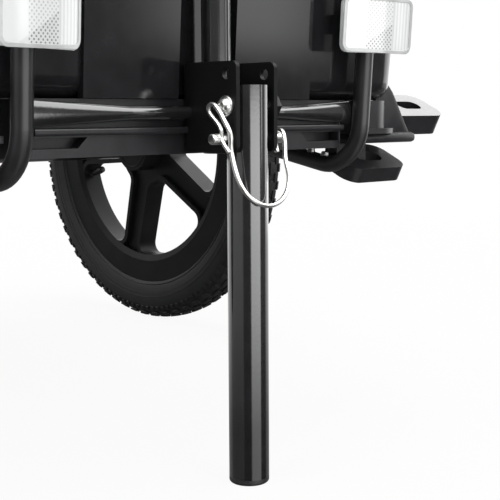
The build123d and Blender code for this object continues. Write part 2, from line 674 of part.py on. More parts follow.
# Reflectors with their clamps: clear ones on the front uprights, red ones on the rear uprights
for place, facing, axis_at, lean, toe in (
    ("front", -1, upright_y, atan2(-rail_lean, 1), REFLECTOR_TOE),
    ("rear", 1, rear_upright_y, atan2(REAR_LEAN, 1), 0),
):
    for side, sign in SIDES:
        along = (0, sin(lean), cos(lean))
        level = REFLECTOR_CENTRE - (REFLECTOR_RIGHT_DROP if sign < 0 else 0)
        clamp_plane = Plane((sign * rail_x, axis_at(level), level), (1, 0, 0), along)
        clamp_plane = clamp_plane.rotated((0, 0, -sign * toe))
        clamp_radius = rail_radius + RUNNING_CLEARANCE
        pad = clamp_radius + CLAMP_WALL + CLAMP_PAD
        with BuildPart() as clamp:
            with BuildSketch(clamp_plane):
                Circle(clamp_radius + CLAMP_WALL)
                with Locations((0, facing * pad / 2)):
                    Rectangle(CLAMP_HEIGHT, pad)
                Circle(clamp_radius, mode=Mode.SUBTRACT)
            extrude(amount=CLAMP_HEIGHT / 2, both=True)
        save(clamp.part, f"reflector_clamp_{place}_{side}")

        lens_plane = Plane(
            clamp_plane.from_local_coords((0, facing * pad, 0)), clamp_plane.x_dir, clamp_plane.y_dir * facing
        )
        bow_centre = lens_plane.offset(REFLECTOR_DEPTH - REFLECTOR_BOW).origin
        with BuildPart() as reflector:
            with BuildSketch(lens_plane):
                RectangleRounded(REFLECTOR_WIDTH, REFLECTOR_HEIGHT, REFLECTOR_CORNER)
            extrude(amount=REFLECTOR_DEPTH)
            with BuildSketch(Plane(bow_centre, clamp_plane.x_dir, along)):
                Circle(REFLECTOR_BOW)
            extrude(amount=REFLECTOR_HEIGHT, both=True, mode=Mode.INTERSECT)
        save(reflector.part, f"reflector_{place}_{side}")

# Hitch: eye on the swan neck, knuckle that swings sideways, and seat-post clamp that nods
yaw_y = neck_end_y - EYE_DIAMETER / 2 - NECK_SEAT
pitch_y = yaw_y - KNUCKLE_REACH
clamp_y = pitch_y - FORK_REACH
with BuildPart() as eye:
    with BuildSketch(Plane((0, yaw_y, NECK_END - EYE_HEIGHT / 2))):
        Circle(EYE_DIAMETER / 2)
        Circle(YAW_PIN_DIAMETER / 2 + RUNNING_CLEARANCE, mode=Mode.SUBTRACT)
    extrude(amount=EYE_HEIGHT)
save(eye.part, "hitch_eye")

knuckle_half = EYE_HEIGHT / 2 + HITCH_AXIAL_GAP
knuckle_front = EYE_DIAMETER / 2 + KNUCKLE_CLEARANCE + KNUCKLE_WALL
with BuildPart() as knuckle:
    for sign in (-1, 1):
        with BuildSketch(Plane((0, yaw_y, NECK_END + sign * knuckle_half), (1, 0, 0), (0, 0, sign))):
            Circle(KNUCKLE_WIDTH / 2)
            with Locations((0, -sign * knuckle_front / 2)):
                Rectangle(KNUCKLE_WIDTH, knuckle_front)
        extrude(amount=KNUCKLE_PLATE)
    with Locations((0, yaw_y - knuckle_front, NECK_END)):
        Box(
            KNUCKLE_WIDTH, KNUCKLE_WALL, 2 * (knuckle_half + KNUCKLE_PLATE),
            align=(Align.CENTER, Align.MIN, Align.CENTER),
        )
    with BuildSketch(Plane((-LUG_THICKNESS / 2, pitch_y, NECK_END), (0, 1, 0), (1, 0, 0))):
        Circle(LUG_RADIUS)
        with Locations((KNUCKLE_REACH / 4, 0)):
            Rectangle(KNUCKLE_REACH / 2, 2 * LUG_RADIUS)
        Circle(PITCH_PIN_DIAMETER / 2 + RUNNING_CLEARANCE, mode=Mode.SUBTRACT)
    extrude(amount=LUG_THICKNESS)
    with Locations((0, yaw_y, NECK_END)):
        Cylinder(YAW_PIN_DIAMETER / 2, 2 * (knuckle_half + KNUCKLE_PLATE + PIN_END))
save(knuckle.part, "hitch_knuckle")

ear_inner = LUG_THICKNESS / 2 + HITCH_AXIAL_GAP
with BuildPart() as fork:
    for sign in (-1, 1):
        with BuildSketch(Plane((sign * ear_inner, pitch_y, NECK_END), (0, 1, 0), (sign, 0, 0))):
            Circle(LUG_RADIUS)
            with Locations((-FORK_REACH / 3, 0)):
                Rectangle(2 * FORK_REACH / 3, 2 * LUG_RADIUS)
        extrude(amount=FORK_EAR)
    with Locations(Location((0, pitch_y, NECK_END), (0, 90, 0))):
        Cylinder(PITCH_PIN_DIAMETER / 2, 2 * (ear_inner + FORK_EAR + PIN_END))
    with BuildSketch(Plane((0, clamp_y, NECK_END - POST_CLAMP_HEIGHT / 2))):
        Circle(clamp_outer)
        Rectangle(2 * (clamp_outer + POST_CLAMP_EAR), POST_CLAMP_EAR)
        Circle(POST_CLAMP_BORE / 2, mode=Mode.SUBTRACT)
        with Locations((0, POST_CLAMP_SPLIT / 2)):
            Rectangle(4 * clamp_outer, 4 * clamp_outer, align=(Align.CENTER, Align.MAX), mode=Mode.SUBTRACT)
    extrude(amount=POST_CLAMP_HEIGHT)
save(fork.part, "hitch_fork")

with BuildPart() as cap:
    with BuildSketch(Plane((0, clamp_y, NECK_END - POST_CLAMP_HEIGHT / 2))):
        Circle(clamp_outer)
        Rectangle(2 * (clamp_outer + POST_CLAMP_EAR), POST_CLAMP_EAR)
        Circle(POST_CLAMP_BORE / 2, mode=Mode.SUBTRACT)
        with Locations((0, -POST_CLAMP_SPLIT / 2)):
            Rectangle(4 * clamp_outer, 4 * clamp_outer, align=(Align.CENTER, Align.MIN), mode=Mode.SUBTRACT)
    extrude(amount=POST_CLAMP_HEIGHT)
save(cap.part, "hitch_cap")
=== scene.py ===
"""Looks of a cargo bike trailer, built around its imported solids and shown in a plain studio."""

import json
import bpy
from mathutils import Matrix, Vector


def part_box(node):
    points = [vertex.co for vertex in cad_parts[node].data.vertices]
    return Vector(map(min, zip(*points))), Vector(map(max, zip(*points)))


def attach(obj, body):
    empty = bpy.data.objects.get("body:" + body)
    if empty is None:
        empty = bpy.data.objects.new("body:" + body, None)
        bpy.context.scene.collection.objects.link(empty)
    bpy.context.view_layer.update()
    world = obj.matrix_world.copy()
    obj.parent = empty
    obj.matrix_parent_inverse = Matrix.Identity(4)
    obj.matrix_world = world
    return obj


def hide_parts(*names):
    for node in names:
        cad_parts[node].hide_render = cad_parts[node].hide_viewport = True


bl_info = {
    "name": "Cargo bike trailer",
    "version": (1, 0, 0),
    "blender": (4, 5, 0),
    "location": "3D View > Sidebar > Trailer",
    "description": "Finishes, small fasteners, tread and studio for a cargo bike trailer",
    "category": "Object",
}

from math import atan, cos, pi, radians, sin

import bmesh
import bpy
from bpy.props import FloatProperty, FloatVectorProperty, IntProperty, PointerProperty
from mathutils import Matrix, Vector

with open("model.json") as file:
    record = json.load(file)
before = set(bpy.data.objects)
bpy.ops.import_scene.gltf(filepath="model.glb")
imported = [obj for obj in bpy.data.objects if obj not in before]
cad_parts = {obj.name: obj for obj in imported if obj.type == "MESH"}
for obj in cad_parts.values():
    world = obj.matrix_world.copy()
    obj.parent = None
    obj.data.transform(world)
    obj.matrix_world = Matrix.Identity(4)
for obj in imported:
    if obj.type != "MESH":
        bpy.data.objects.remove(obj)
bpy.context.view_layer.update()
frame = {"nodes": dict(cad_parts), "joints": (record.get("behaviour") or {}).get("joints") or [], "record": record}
SIDES = (("left", 1), ("right", -1))

# Places read from the frame
JOINTS = {joint["name"]: joint for joint in frame["joints"]}
PIVOT = Vector(JOINTS["stand_fold"]["pos_m"])
LEG_Y = PIVOT.y
PLATE_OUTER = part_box("stand_bracket")[1].x
AXLES = {side: Vector(JOINTS[f"wheel_{side}_spin"]["pos_m"]) for side, _ in SIDES}
TYRE_LOW, TYRE_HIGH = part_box("tyre_left")
TYRE_RADIUS = (TYRE_HIGH.z - TYRE_LOW.z) / 2
RAIL_LOW, RAIL_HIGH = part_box("side_rail_left")
RAIL_X = (RAIL_LOW.x + RAIL_HIGH.x) / 2
RAIL_RADIUS = (RAIL_HIGH.x - RAIL_LOW.x) / 2
TUB_LOW, TUB_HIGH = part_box("tub")
YAW = Vector(JOINTS["hitch_yaw"]["pos_m"])
PITCH = Vector(JOINTS["hitch_pitch"]["pos_m"])
# Climb of a side rail behind its hook bend: start as distance behind the leg and height, and slope
RAIL_START = (0.0328, 0.193)
RAIL_CLIMB = 0.194
# Axes of the uprights: slope, and one point as distance behind the leg and height
UPRIGHTS = {"front": (-0.0676, 0.0125, 0.4932), "rear": (0.095, 0.6495, 0.2402)}
# Turn of the camera about the vertical, and the level way back to it
CAMERA_TURN = radians(-43.78)
BACK = (sin(CAMERA_TURN), -cos(CAMERA_TURN))
# Distance under which two places count as one
NEAR = 1e-6
WHITE = (1.0, 1.0, 1.0, 1.0)


def length_property(name, description, default):
    """A length in metres."""
    return FloatProperty(name=name, description=description, default=default, unit="LENGTH")


def angle_property(name, description, default):
    """An angle in radians."""
    return FloatProperty(name=name, description=description, default=default, subtype="ANGLE")


def colour_property(name, description, default):
    """A base colour."""
    return FloatVectorProperty(name=name, description=description, default=default, subtype="COLOR", size=3)


class TrailerSizes(bpy.types.PropertyGroup):
    """Sizes of the pieces that dress the solids."""

    pin_diameter: length_property("Lock pin", "Diameter of the lock pin", 0.0068)
    pin_drop: length_property("Pin drop", "How far the lock pin lies below the pivot", 0.020)
    pin_overhang: length_property("Pin overhang", "How far the pin stands out of each plate", 0.013)
    wire_diameter: length_property("Bail wire", "Diameter of the spring wire", 0.0029)
    tread_blocks: IntProperty(name="Tread blocks", description="Blocks round a tread row", default=64, min=24)
    tread_height: length_property("Tread height", "How far a tread block stands out", 0.0018)
    weld_bead: length_property("Weld bead", "Radius of one scale of a weld", 0.0016)
    gusset_thickness: length_property("Gusset", "Thickness of a corner foot's gusset", 0.004)
    lens_rim: length_property("Lens rim", "Width of a reflector's rim", 0.0026)


class TrailerColours(bpy.types.PropertyGroup):
    """Base colours of the finishes."""

    paint: colour_property("Tube paint", "Powder coat", (0.012, 0.012, 0.013))
    tub: colour_property("Tub", "Moulded tub plastic", (0.010, 0.010, 0.011))
    rim: colour_property("Rim", "Moulded rim plastic", (0.012, 0.012, 0.013))
    rubber: colour_property("Tyre", "Tyre rubber", (0.012, 0.012, 0.0125))
    zinc: colour_property("Zinc", "Bright zinc plating", (0.84, 0.84, 0.82))
    clear_lens: colour_property("Front lens", "Clear prismatic lens", (0.78, 0.79, 0.79))
    red_lens: colour_property("Rear lens", "Red prismatic lens", (0.55, 0.012, 0.010))


class TrailerStudio(bpy.types.PropertyGroup):
    """Camera of the studio."""

    camera_place: FloatVectorProperty(
        name="Camera", description="Camera place", default=(-0.4734, LEG_Y - 0.4965, 0.2374), subtype="XYZ",
        size=3,
    )
    camera_turn: angle_property("Camera turn", "Camera's turn about the vertical", CAMERA_TURN)
    camera_tilt: angle_property("Camera tilt", "How far the camera looks down", radians(7.14))
    camera_roll: angle_property("Camera roll", "Camera's roll about its axis", radians(0.31))
    lens: FloatProperty(name="Lens", description="Focal length on a 36 mm sensor, in mm", default=78.4)


class Channel:
    """A shader socket that adds Math nodes when it stands in an expression."""

    def __init__(self, tree, socket):
        self.tree = tree
        self.socket = socket

    def math(self, operation, first, second):
        node = self.tree.nodes.new("ShaderNodeMath")
        node.operation = operation
        for place, value in zip(node.inputs, (first, second)):
            if isinstance(value, Channel):
                self.tree.links.new(value.socket, place)
            else:
                place.default_value = value
        return Channel(self.tree, node.outputs[0])

    def __add__(self, other):
        return self.math("ADD", self, other)

    def __radd__(self, other):
        return self.math("ADD", other, self)

    def __sub__(self, other):
        return self.math("SUBTRACT", self, other)

    def __rsub__(self, other):
        return self.math("SUBTRACT", other, self)

    def __mul__(self, other):
        return self.math("MULTIPLY", self, other)

    def __gt__(self, other):
        return self.math("GREATER_THAN", self, other)

    def __lt__(self, other):
        return self.math("LESS_THAN", self, other)


class Nodes:
    """A node tree with short calls to add nodes."""

    def __init__(self, tree):
        self.tree = tree

    def fill(self, node, sockets):
        """Set or link a node's sockets by name."""
        for name, value in sockets.items():
            socket = node.inputs[name.replace("_", " ")]
            if isinstance(value, Channel):
                self.tree.links.new(value.socket, socket)
            else:
                socket.default_value = value

    def node(self, kind, settings=None, output=0, **sockets):
        """Add a node, set it, fill its sockets and return one of its outputs."""
        node = self.tree.nodes.new(kind)
        for name, value in (settings or {}).items():
            setattr(node, name, value)
        self.fill(node, sockets)
        return Channel(self.tree, node.outputs[output])

    def ramp(self, value, stops):
        """Map a value through colour stops given as (place, colour)."""
        made = self.node("ShaderNodeValToRGB", Fac=value, output="Color")
        elements = made.socket.node.color_ramp.elements
        while len(elements) < len(stops):
            elements.new(1.0)
        for element, (place, colour) in zip(elements, stops):
            element.position = place
            element.color = (*colour, 1.0)
        return made

    def levels(self, value, stops, peak=1.0):
        """Map a value through grey levels given as (place, level), as shares of a peak."""
        return self.ramp(value, [(place, (level / peak,) * 3) for place, level in stops])

    def mix(self, factor, first, second):
        """Mix two shader sockets by a factor."""
        mixed = self.node("ShaderNodeMixShader", Fac=factor)
        for place, shader in ((1, first), (2, second)):
            self.tree.links.new(shader, mixed.socket.node.inputs[place])
        return mixed.socket


class Finish(Nodes):
    """A material with one Principled shader and short calls for its patterns."""

    def __init__(self, name):
        self.material = bpy.data.materials.new(name)
        self.material.use_nodes = True
        super().__init__(self.material.node_tree)
        self.shader = self.tree.nodes["Principled BSDF"]
        self.place = self.node("ShaderNodeTexCoord", output="Object")

    def noise(self, scale, detail, roughness=0.5):
        return self.node(
            "ShaderNodeTexNoise", Vector=self.place, Scale=scale, Detail=detail, Roughness=roughness,
            output="Fac",
        )

    def bump(self, height, strength, distance):
        return self.node(
            "ShaderNodeBump", Height=height, Strength=strength, Distance=distance, output="Normal"
        )

    def set(self, **sockets):
        """Set or link sockets of the Principled shader."""
        self.fill(self.shader, sockets)
        return self.material


def shade(colour, factor):
    """A colour made lighter or darker."""
    return tuple(min(1.0, channel * factor) for channel in colour)


def powder_coat(colour):
    """Gloss black powder coat with a fine orange peel and faint dust."""
    finish = Finish("powder_coat")
    peel = finish.noise(420.0, detail=2.0)
    dust = finish.noise(34.0, detail=6.0, roughness=0.65)
    return finish.set(
        Base_Color=finish.ramp(dust, [(0.35, shade(colour, 0.8)), (0.75, shade(colour, 1.5))]),
        Roughness=0.10 + dust * 0.07,
        Normal=finish.bump(peel, 0.05, 0.0005),
        Specular_IOR_Level=0.75,
        Coat_Weight=0.9,
        Coat_Roughness=0.06,
    )


def tub_plastic(colour):
    """Gloss moulded plastic with shallow waviness and light scuffs."""
    finish = Finish("tub_plastic")
    wave = finish.noise(7.0, detail=1.0)
    grain = finish.noise(900.0, detail=2.0)
    scuff = finish.noise(48.0, detail=8.0, roughness=0.7)
    return finish.set(
        Base_Color=finish.ramp(scuff, [(0.4, colour), (0.85, shade(colour, 2.0))]),
        Roughness=0.07 + scuff * 0.07,
        Normal=finish.bump(wave * 0.3 + grain * 0.01, 0.05, 0.003),
        Specular_IOR_Level=0.5,
    )


def skirt_plastic(colour):
    """Satin moulded plastic of the sill and the corner feet, with a fine grain and light scuffs."""
    finish = Finish("skirt_plastic")
    grain = finish.noise(1300.0, detail=3.0)
    scuff = finish.noise(60.0, detail=8.0, roughness=0.7)
    return finish.set(
        Base_Color=finish.ramp(scuff, [(0.4, shade(colour, 1.4)), (0.85, shade(colour, 2.6))]),
        Roughness=0.26 + scuff * 0.12,
        Normal=finish.bump(grain, 0.10, 0.0004),
        Specular_IOR_Level=0.38,
    )


def satin_coat(colour):
    """Satin black powder coat of the bent side rails."""
    finish = Finish("satin_coat")
    peel = finish.noise(420.0, detail=2.0)
    dust = finish.noise(34.0, detail=6.0, roughness=0.65)
    return finish.set(
        Base_Color=finish.ramp(dust, [(0.35, shade(colour, 0.9)), (0.75, shade(colour, 1.6))]),
        Roughness=0.30 + dust * 0.08,
        Normal=finish.bump(peel, 0.05, 0.0005),
        Specular_IOR_Level=0.6,
    )


def bracket_coat(colour):
    """Dull black coat of the bracket plates."""
    finish = Finish("bracket_coat")
    peel = finish.noise(520.0, detail=2.0)
    dust = finish.noise(40.0, detail=6.0, roughness=0.65)
    return finish.set(
        Base_Color=finish.ramp(dust, [(0.35, shade(colour, 0.4)), (0.75, shade(colour, 0.7))]),
        Roughness=0.42 + dust * 0.10,
        Normal=finish.bump(peel, 0.06, 0.0004),
        Specular_IOR_Level=0.15,
    )


def rim_plastic(colour):
    """Satin moulded plastic with a fine spark-eroded grain."""
    finish = Finish("rim_plastic")
    grain = finish.noise(1400.0, detail=3.0)
    cloud = finish.noise(22.0, detail=4.0)
    return finish.set(
        Base_Color=finish.ramp(cloud, [(0.3, shade(colour, 0.8)), (0.8, shade(colour, 1.5))]),
        Roughness=0.34 + grain * 0.12,
        Normal=finish.bump(grain, 0.14, 0.0004),
        Specular_IOR_Level=0.07,
    )


def tyre_rubber(colour):
    """Black rubber with a dusty bloom and fine pores."""
    finish = Finish("tyre_rubber")
    pores = finish.noise(1800.0, detail=3.0)
    bloom = finish.noise(26.0, detail=6.0, roughness=0.7)
    return finish.set(
        Base_Color=finish.ramp(bloom, [(0.3, shade(colour, 0.75)), (0.8, shade(colour, 1.9))]),
        Roughness=0.55 + bloom * 0.18,
        Normal=finish.bump(pores, 0.2, 0.0003),
        Specular_IOR_Level=0.25,
    )


def zinc_plate(colour):
    """Bright zinc plating with a mottled passivation and a fine grain."""
    finish = Finish("zinc_plate")
    mottle = finish.noise(190.0, detail=5.0)
    fine = finish.noise(2400.0, detail=2.0)
    return finish.set(
        Base_Color=finish.ramp(mottle, [(0.3, shade(colour, 0.88)), (0.7, colour)]),
        Roughness=0.24 + mottle * 0.10,
        Metallic=1.0,
        Normal=finish.bump(fine, 0.03, 0.0001),
    )


def satin_plastic(colour):
    """Satin black plastic of clamps, caps, plugs, valves and the foot."""
    finish = Finish("satin_plastic")
    grain = finish.noise(1200.0, detail=3.0)
    return finish.set(
        Base_Color=finish.ramp(grain, [(0.3, shade(colour, 0.8)), (0.8, shade(colour, 1.5))]),
        Roughness=0.4 + grain * 0.12,
        Normal=finish.bump(grain, 0.12, 0.0004),
    )


def lens_body(name, colour):
    """Clear moulded body of a reflector, faintly clouded."""
    finish = Finish(name)
    cloud = finish.noise(160.0, detail=4.0)
    return finish.set(
        Base_Color=finish.ramp(cloud, [(0.3, shade(colour, 0.86)), (0.7, colour)]),
        Roughness=0.08 + cloud * 0.08,
        Coat_Weight=0.6,
        Coat_Roughness=0.03,
    )


def lens_face(name, colour, width, height):
    """Prism face of a reflector: plain field, honeycomb of prisms and ribbed field side by side, with painted
    shadow below a slanted line that darkens the plain field and the prisms there.
    """
    finish = Finish(name)
    place = finish.node("ShaderNodeUVMap", {"uv_map": "face"}, output="UV")
    across = finish.node("ShaderNodeSeparateXYZ", Vector=place, output="X")
    up = finish.node("ShaderNodeSeparateXYZ", Vector=place, output="Y")
    turned = finish.node(
        "ShaderNodeMapping", Vector=place, Rotation=(0.0, 0.0, pi / 4), Scale=(430.0, 430.0, 1.0)
    )
    cells = finish.node(
        "ShaderNodeTexVoronoi", {"voronoi_dimensions": "2D", "feature": "F1"}, Vector=turned, Scale=1.0,
        Randomness=0.0, output="Distance",
    )
    ribs = finish.node(
        "ShaderNodeTexWave", {"wave_type": "BANDS", "bands_direction": "X"}, Vector=place, Scale=96.0,
        Distortion=0.0, output="Fac",
    )
    start, end = -width * 0.19, width * 0.17
    honeycomb = (across > start) * (across < end)
    ribbed = across > end
    # low marks the part under a slanted line where painted shadow falls; it is shade, not a field of the lens
    low = (up + height * 0.14 - across * 0.62) < 0.0
    dots = honeycomb * (cells < 0.27)
    # depth is the prism and rib pattern plus painted shadow: prisms under the line twice as dark, and the plain
    # field under it greyer
    depth = dots * (0.34 + low * 0.34) + ribbed * ribs * 0.22 + low * (1.0 - ribbed) * 0.14
    stops = [(0.0, colour), (0.25, shade(colour, 0.78)), (0.75, shade(colour, 0.30))]
    return finish.set(
        Base_Color=finish.ramp(depth, stops),
        Roughness=0.10 + depth * 0.2,
        Normal=finish.bump(ribbed * ribs * 0.4 + honeycomb * cells, 0.25, 0.0004),
        Coat_Weight=0.8,
        Coat_Roughness=0.03,
    )


FINISHES = {}


def finish_of(slot):
    """The material of a record slot, or of a solid with a finish of its own, made once."""
    if slot not in FINISHES:
        colours = bpy.context.scene.trailer_colours
        makers = {
            "black_tube": lambda: powder_coat(colours.paint),
            "tub_plastic": lambda: tub_plastic(colours.tub),
            "black_plastic": lambda: satin_plastic(colours.paint),
            "rim_plastic": lambda: rim_plastic(colours.rim),
            "tyre_rubber": lambda: tyre_rubber(colours.rubber),
            "zinc": lambda: zinc_plate(colours.zinc),
            "clear_reflector": lambda: lens_body("clear_lens", colours.clear_lens),
            "red_reflector": lambda: lens_body("red_lens", colours.red_lens),
        }
        FINISHES[slot] = makers[slot]()
    return FINISHES[slot]


def piece(name, body, slot, mesh, finish=None):
    """Make an object of a bmesh or a mesh, finish it and let it ride on a body."""
    if isinstance(mesh, bmesh.types.BMesh):
        built = mesh
        mesh = bpy.data.meshes.new(name)
        bmesh.ops.remove_doubles(built, verts=built.verts, dist=NEAR)
        bmesh.ops.recalc_face_normals(built, faces=built.faces)
        built.to_mesh(mesh)
        built.free()
    made = bpy.data.objects.new(name, mesh)
    bpy.context.scene.collection.objects.link(made)
    mesh.materials.clear()
    mesh.materials.append(finish or finish_of(slot))
    for polygon in mesh.polygons:
        polygon.use_smooth = True
    mesh.set_sharp_from_angle(angle=radians(35))
    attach(made, body)
    return made


def facing(direction):
    """Rotation that turns +Z to a direction."""
    return Vector((0, 0, 1)).rotation_difference(Vector(direction)).to_matrix().to_4x4()


def add_disc(mesh, base, direction, radius, height, top=None, rim=0.0, sides=32):
    """Add a round or many-sided plug that stands on a base point along a direction."""
    base = Vector(base)
    place = Matrix.Translation(base) @ facing(direction) @ Matrix.Translation((0, 0, height / 2))
    made = bmesh.ops.create_cone(
        mesh, cap_ends=True, segments=sides, radius1=radius, radius2=radius if top is None else top,
        depth=height, matrix=place,
    )
    if rim:
        axis = Vector(direction).normalized()
        tip = base + axis * height
        edges = {
            edge for vert in made["verts"] for edge in vert.link_edges
            if all(abs((v.co - tip).dot(axis)) < NEAR for v in edge.verts)
        }
        bmesh.ops.bevel(
            mesh, geom=list(edges), offset=rim, segments=3, profile=0.5, affect="EDGES", material=-1
        )


def add_copies(mesh, verts, centre, axis, count):
    """Repeat some geometry round an axis."""
    edges = {edge for vert in verts for edge in vert.link_edges}
    faces = {face for vert in verts for face in vert.link_faces}
    bmesh.ops.spin(
        mesh, geom=[*verts, *edges, *faces], cent=centre, axis=axis, angle=2 * pi * (count - 1) / count,
        steps=count - 1, use_duplicate=True,
    )


def revolve(mesh, chain, edges, centre, axis, steps):
    """Sweep a chain of edges once round an axis."""
    bmesh.ops.spin(
        mesh, geom=[*chain, *edges], cent=centre, axis=axis, angle=2 * pi, steps=steps, use_merge=True
    )


def lift(mesh, faces, offset):
    """Extrude faces by an offset and return the moved points."""
    raised = bmesh.ops.extrude_face_region(mesh, geom=faces)
    moved = [item for item in raised["geom"] if isinstance(item, bmesh.types.BMVert)]
    bmesh.ops.translate(mesh, vec=offset, verts=moved)
    return moved


def add_weld(mesh, centre, axis, radius, bead, count):
    """Add a ring of overlapping weld scales round a tube."""
    out = Vector(axis).normalized().orthogonal().normalized() * radius
    place = Matrix.Translation(Vector(centre) + out)
    made = bmesh.ops.create_icosphere(mesh, subdivisions=2, radius=bead, matrix=place)
    add_copies(mesh, made["verts"], centre, axis, count)


def add_ring(mesh, centre, axis, radius, thickness, steps, sides=10):
    """Add a plain ring of round section."""
    axis = Vector(axis).normalized()
    out = axis.orthogonal().normalized()
    place = Matrix.Translation(Vector(centre) + out * radius) @ facing(axis.cross(out))
    made = bmesh.ops.create_circle(mesh, segments=sides, radius=thickness / 2, matrix=place)
    edges = {edge for vert in made["verts"] for edge in vert.link_edges}
    revolve(mesh, made["verts"], edges, centre, axis, steps)


def add_block(mesh, centre, size, bevel, turn=None):
    """Add a block with rounded edges."""
    place = Matrix.Translation(Vector(centre)) @ (turn or Matrix.Identity(4)) @ Matrix.Diagonal((*size, 1.0))
    made = bmesh.ops.create_cube(mesh, size=1.0, matrix=place)
    edges = {edge for vert in made["verts"] for edge in vert.link_edges}
    rounded = bmesh.ops.bevel(
        mesh, geom=list(edges), offset=bevel, segments=2, profile=0.5, affect="EDGES", material=-1
    )
    return [vert for vert in {*made["verts"], *rounded["verts"]} if vert.is_valid]


def add_hex_bolt(mesh, base, direction, width, height, washer=0.0):
    """Add a hexagon head on a washer."""
    axis = Vector(direction).normalized()
    base = Vector(base)
    if washer:
        add_disc(mesh, base, axis, width * 0.95, washer, sides=36, rim=washer * 0.3)
        base = base + axis * washer
    add_disc(mesh, base, axis, width / 2 / cos(pi / 6), height, sides=6, rim=height * 0.12)


def wire_mesh(name, points, diameter):
    """A round wire through points, as a mesh."""
    curve = bpy.data.curves.new(name, "CURVE")
    curve.dimensions = "3D"
    curve.bevel_depth = diameter / 2
    curve.bevel_resolution = 4
    curve.use_fill_caps = True
    curve.resolution_u = 10
    spline = curve.splines.new("NURBS")
    spline.points.add(len(points) - 1)
    for control, place in zip(spline.points, points):
        control.co = (*place, 1.0)
    spline.order_u = 4
    spline.use_endpoint_u = True
    holder = bpy.data.objects.new(name, curve)
    bpy.context.scene.collection.objects.link(holder)
    bpy.context.view_layer.update()
    mesh = bpy.data.meshes.new_from_object(holder.evaluated_get(bpy.context.evaluated_depsgraph_get()))
    bpy.data.objects.remove(holder)
    bpy.data.curves.remove(curve)
    return mesh


class TRAILER_OT_finishes(bpy.types.Operator):
    """Give every solid the finish of its slot, or its own"""

    bl_idname = "trailer.finishes"
    bl_label = "Finishes"

    def execute(self, context):
        colours = context.scene.trailer_colours
        slots = {entry["node"]: entry["material_slot"] for entry in frame["record"]["subparts"]}
        FINISHES["skirt"] = skirt_plastic(colours.tub)
        FINISHES["rail"] = satin_coat(colours.paint)
        FINISHES["bracket"] = bracket_coat(colours.paint)
        own = {"stand_bracket": "bracket", "front_sill": "skirt"}
        for side, _ in SIDES:
            own[f"side_rail_{side}"] = "rail"
            own[f"side_skirt_{side}"] = "skirt"
        for name, node in frame["nodes"].items():
            node.data.materials.clear()
            node.data.materials.append(finish_of(own.get(name, slots[name])))
        return {"FINISHED"}


# Route of the bail from the pin's right end to its left end, in millimetres from the pin's middle
BAIL_ROUTE = (
    (-24.0, -9.6, -8.2), (-24.0, -5.6, -4.2), (-24.0, -1.2, 0.0), (-24.0, -3.2, 5.4),
    (-24.0, 2.2, 11.0), (-25.0, 8.6, 16.2), (-25.6, 7.6, 21.0), (-25.6, 2.6, 21.8),
    (-25.0, -1.2, 17.8), (-24.4, -4.4, 12.6), (-24.0, -8.2, 7.2), (-23.2, -10.4, 1.6),
    (-22.8, -8.8, -4.4), (-22.6, -10.0, -9.6), (-22.8, -14.0, -22.1), (-21.2, -18.0, -30.5),
    (-16.8, -20.0, -36.1), (-9.2, -21.0, -40.1), (-0.7, -20.0, -41.6), (9.0, -18.0, -40.7),
    (17.7, -16.0, -36.3), (22.6, -14.2, -30.2), (23.5, -13.5, -23.3), (23.1, -11.5, -17.0),
    (23.7, -9.5, -10.8), (24.7, -8.8, -2.5), (25.2, -6.6, 4.4), (24.8, -2.6, 5.4),
    (24.4, -0.3, 1.6), (24.2, 0.0, -3.0), (24.0, -2.4, -9.0),
)


class TRAILER_OT_lock_pin(bpy.types.Operator):
    """Draw the lock pin through the bracket, with its wire bail"""

    bl_idname = "trailer.lock_pin"
    bl_label = "Lock pin"

    def execute(self, context):
        sizes = context.scene.trailer_sizes
        centre = PIVOT - Vector((0, 0, sizes.pin_drop))
        half = PLATE_OUTER + sizes.pin_overhang
        mesh = bmesh.new()
        for sign in (-1, 1):
            add_disc(mesh, centre, (sign, 0, 0), sizes.pin_diameter / 2, half, rim=sizes.pin_diameter * 0.18)
        piece("lock_pin", "frame", "zinc", mesh)
        points = [centre + Vector(place) / 1000 for place in BAIL_ROUTE]
        piece("lock_bail", "frame", "zinc", wire_mesh("lock_bail", points, sizes.wire_diameter))
        return {"FINISHED"}


# Half of a tyre's section, as distance from its middle and depth under the crown, in millimetres
TYRE_SECTION = (
    (11.7, 49.7), (11.7, 42.7), (15.0, 42.7), (16.4, 41.0), (18.4, 36.0), (19.7, 28.5), (20.0, 22.0),
    (19.1, 15.0), (17.0, 9.6), (13.2, 5.4), (9.0, 3.2), (4.6, 2.1), (0.0, 1.8),
)
TYRE_STEPS = 144
# Tread rows as distance from the middle, depth under the crown, lean in degrees, width and length in
# millimetres, and blocks round the row as a multiple of the tread's
TREAD_ROWS = (
    (0.0, 0.9, 0.0, 5.8, 13.0, 1), (7.5, 1.7, 10.0, 5.4, 11.0, 1), (14.1, 5.0, 34.0, 5.8, 9.0, 1),
    (18.4, 11.8, 66.0, 4.0, 4.6, 2),
)
STAGGERED_ROW = 1
BLOCK_ROUNDING = 0.0005
# Raised sidewall lines as distance from the middle, depth under the crown and thickness in millimetres
WALL_LINES = ((19.9, 25.0, 0.9), (19.5, 29.5, 0.7), (17.1, 39.6, 1.2))
# Valve: its way out from the axle, distance of its seat, and its steps as start, radius, height, radius at
# the top and rounding
VALVE_WAY = Vector((0, 0.957, -0.29)).normalized()
VALVE_SEAT = 0.1275
VALVE_STEPS = (
    (0.0, 0.0052, 0.004, 0.0042, 0.0006), (0.0035, 0.0036, 0.014, 0.0030, 0.0004),
    (0.0170, 0.0043, 0.008, 0.0038, 0.0010),
)


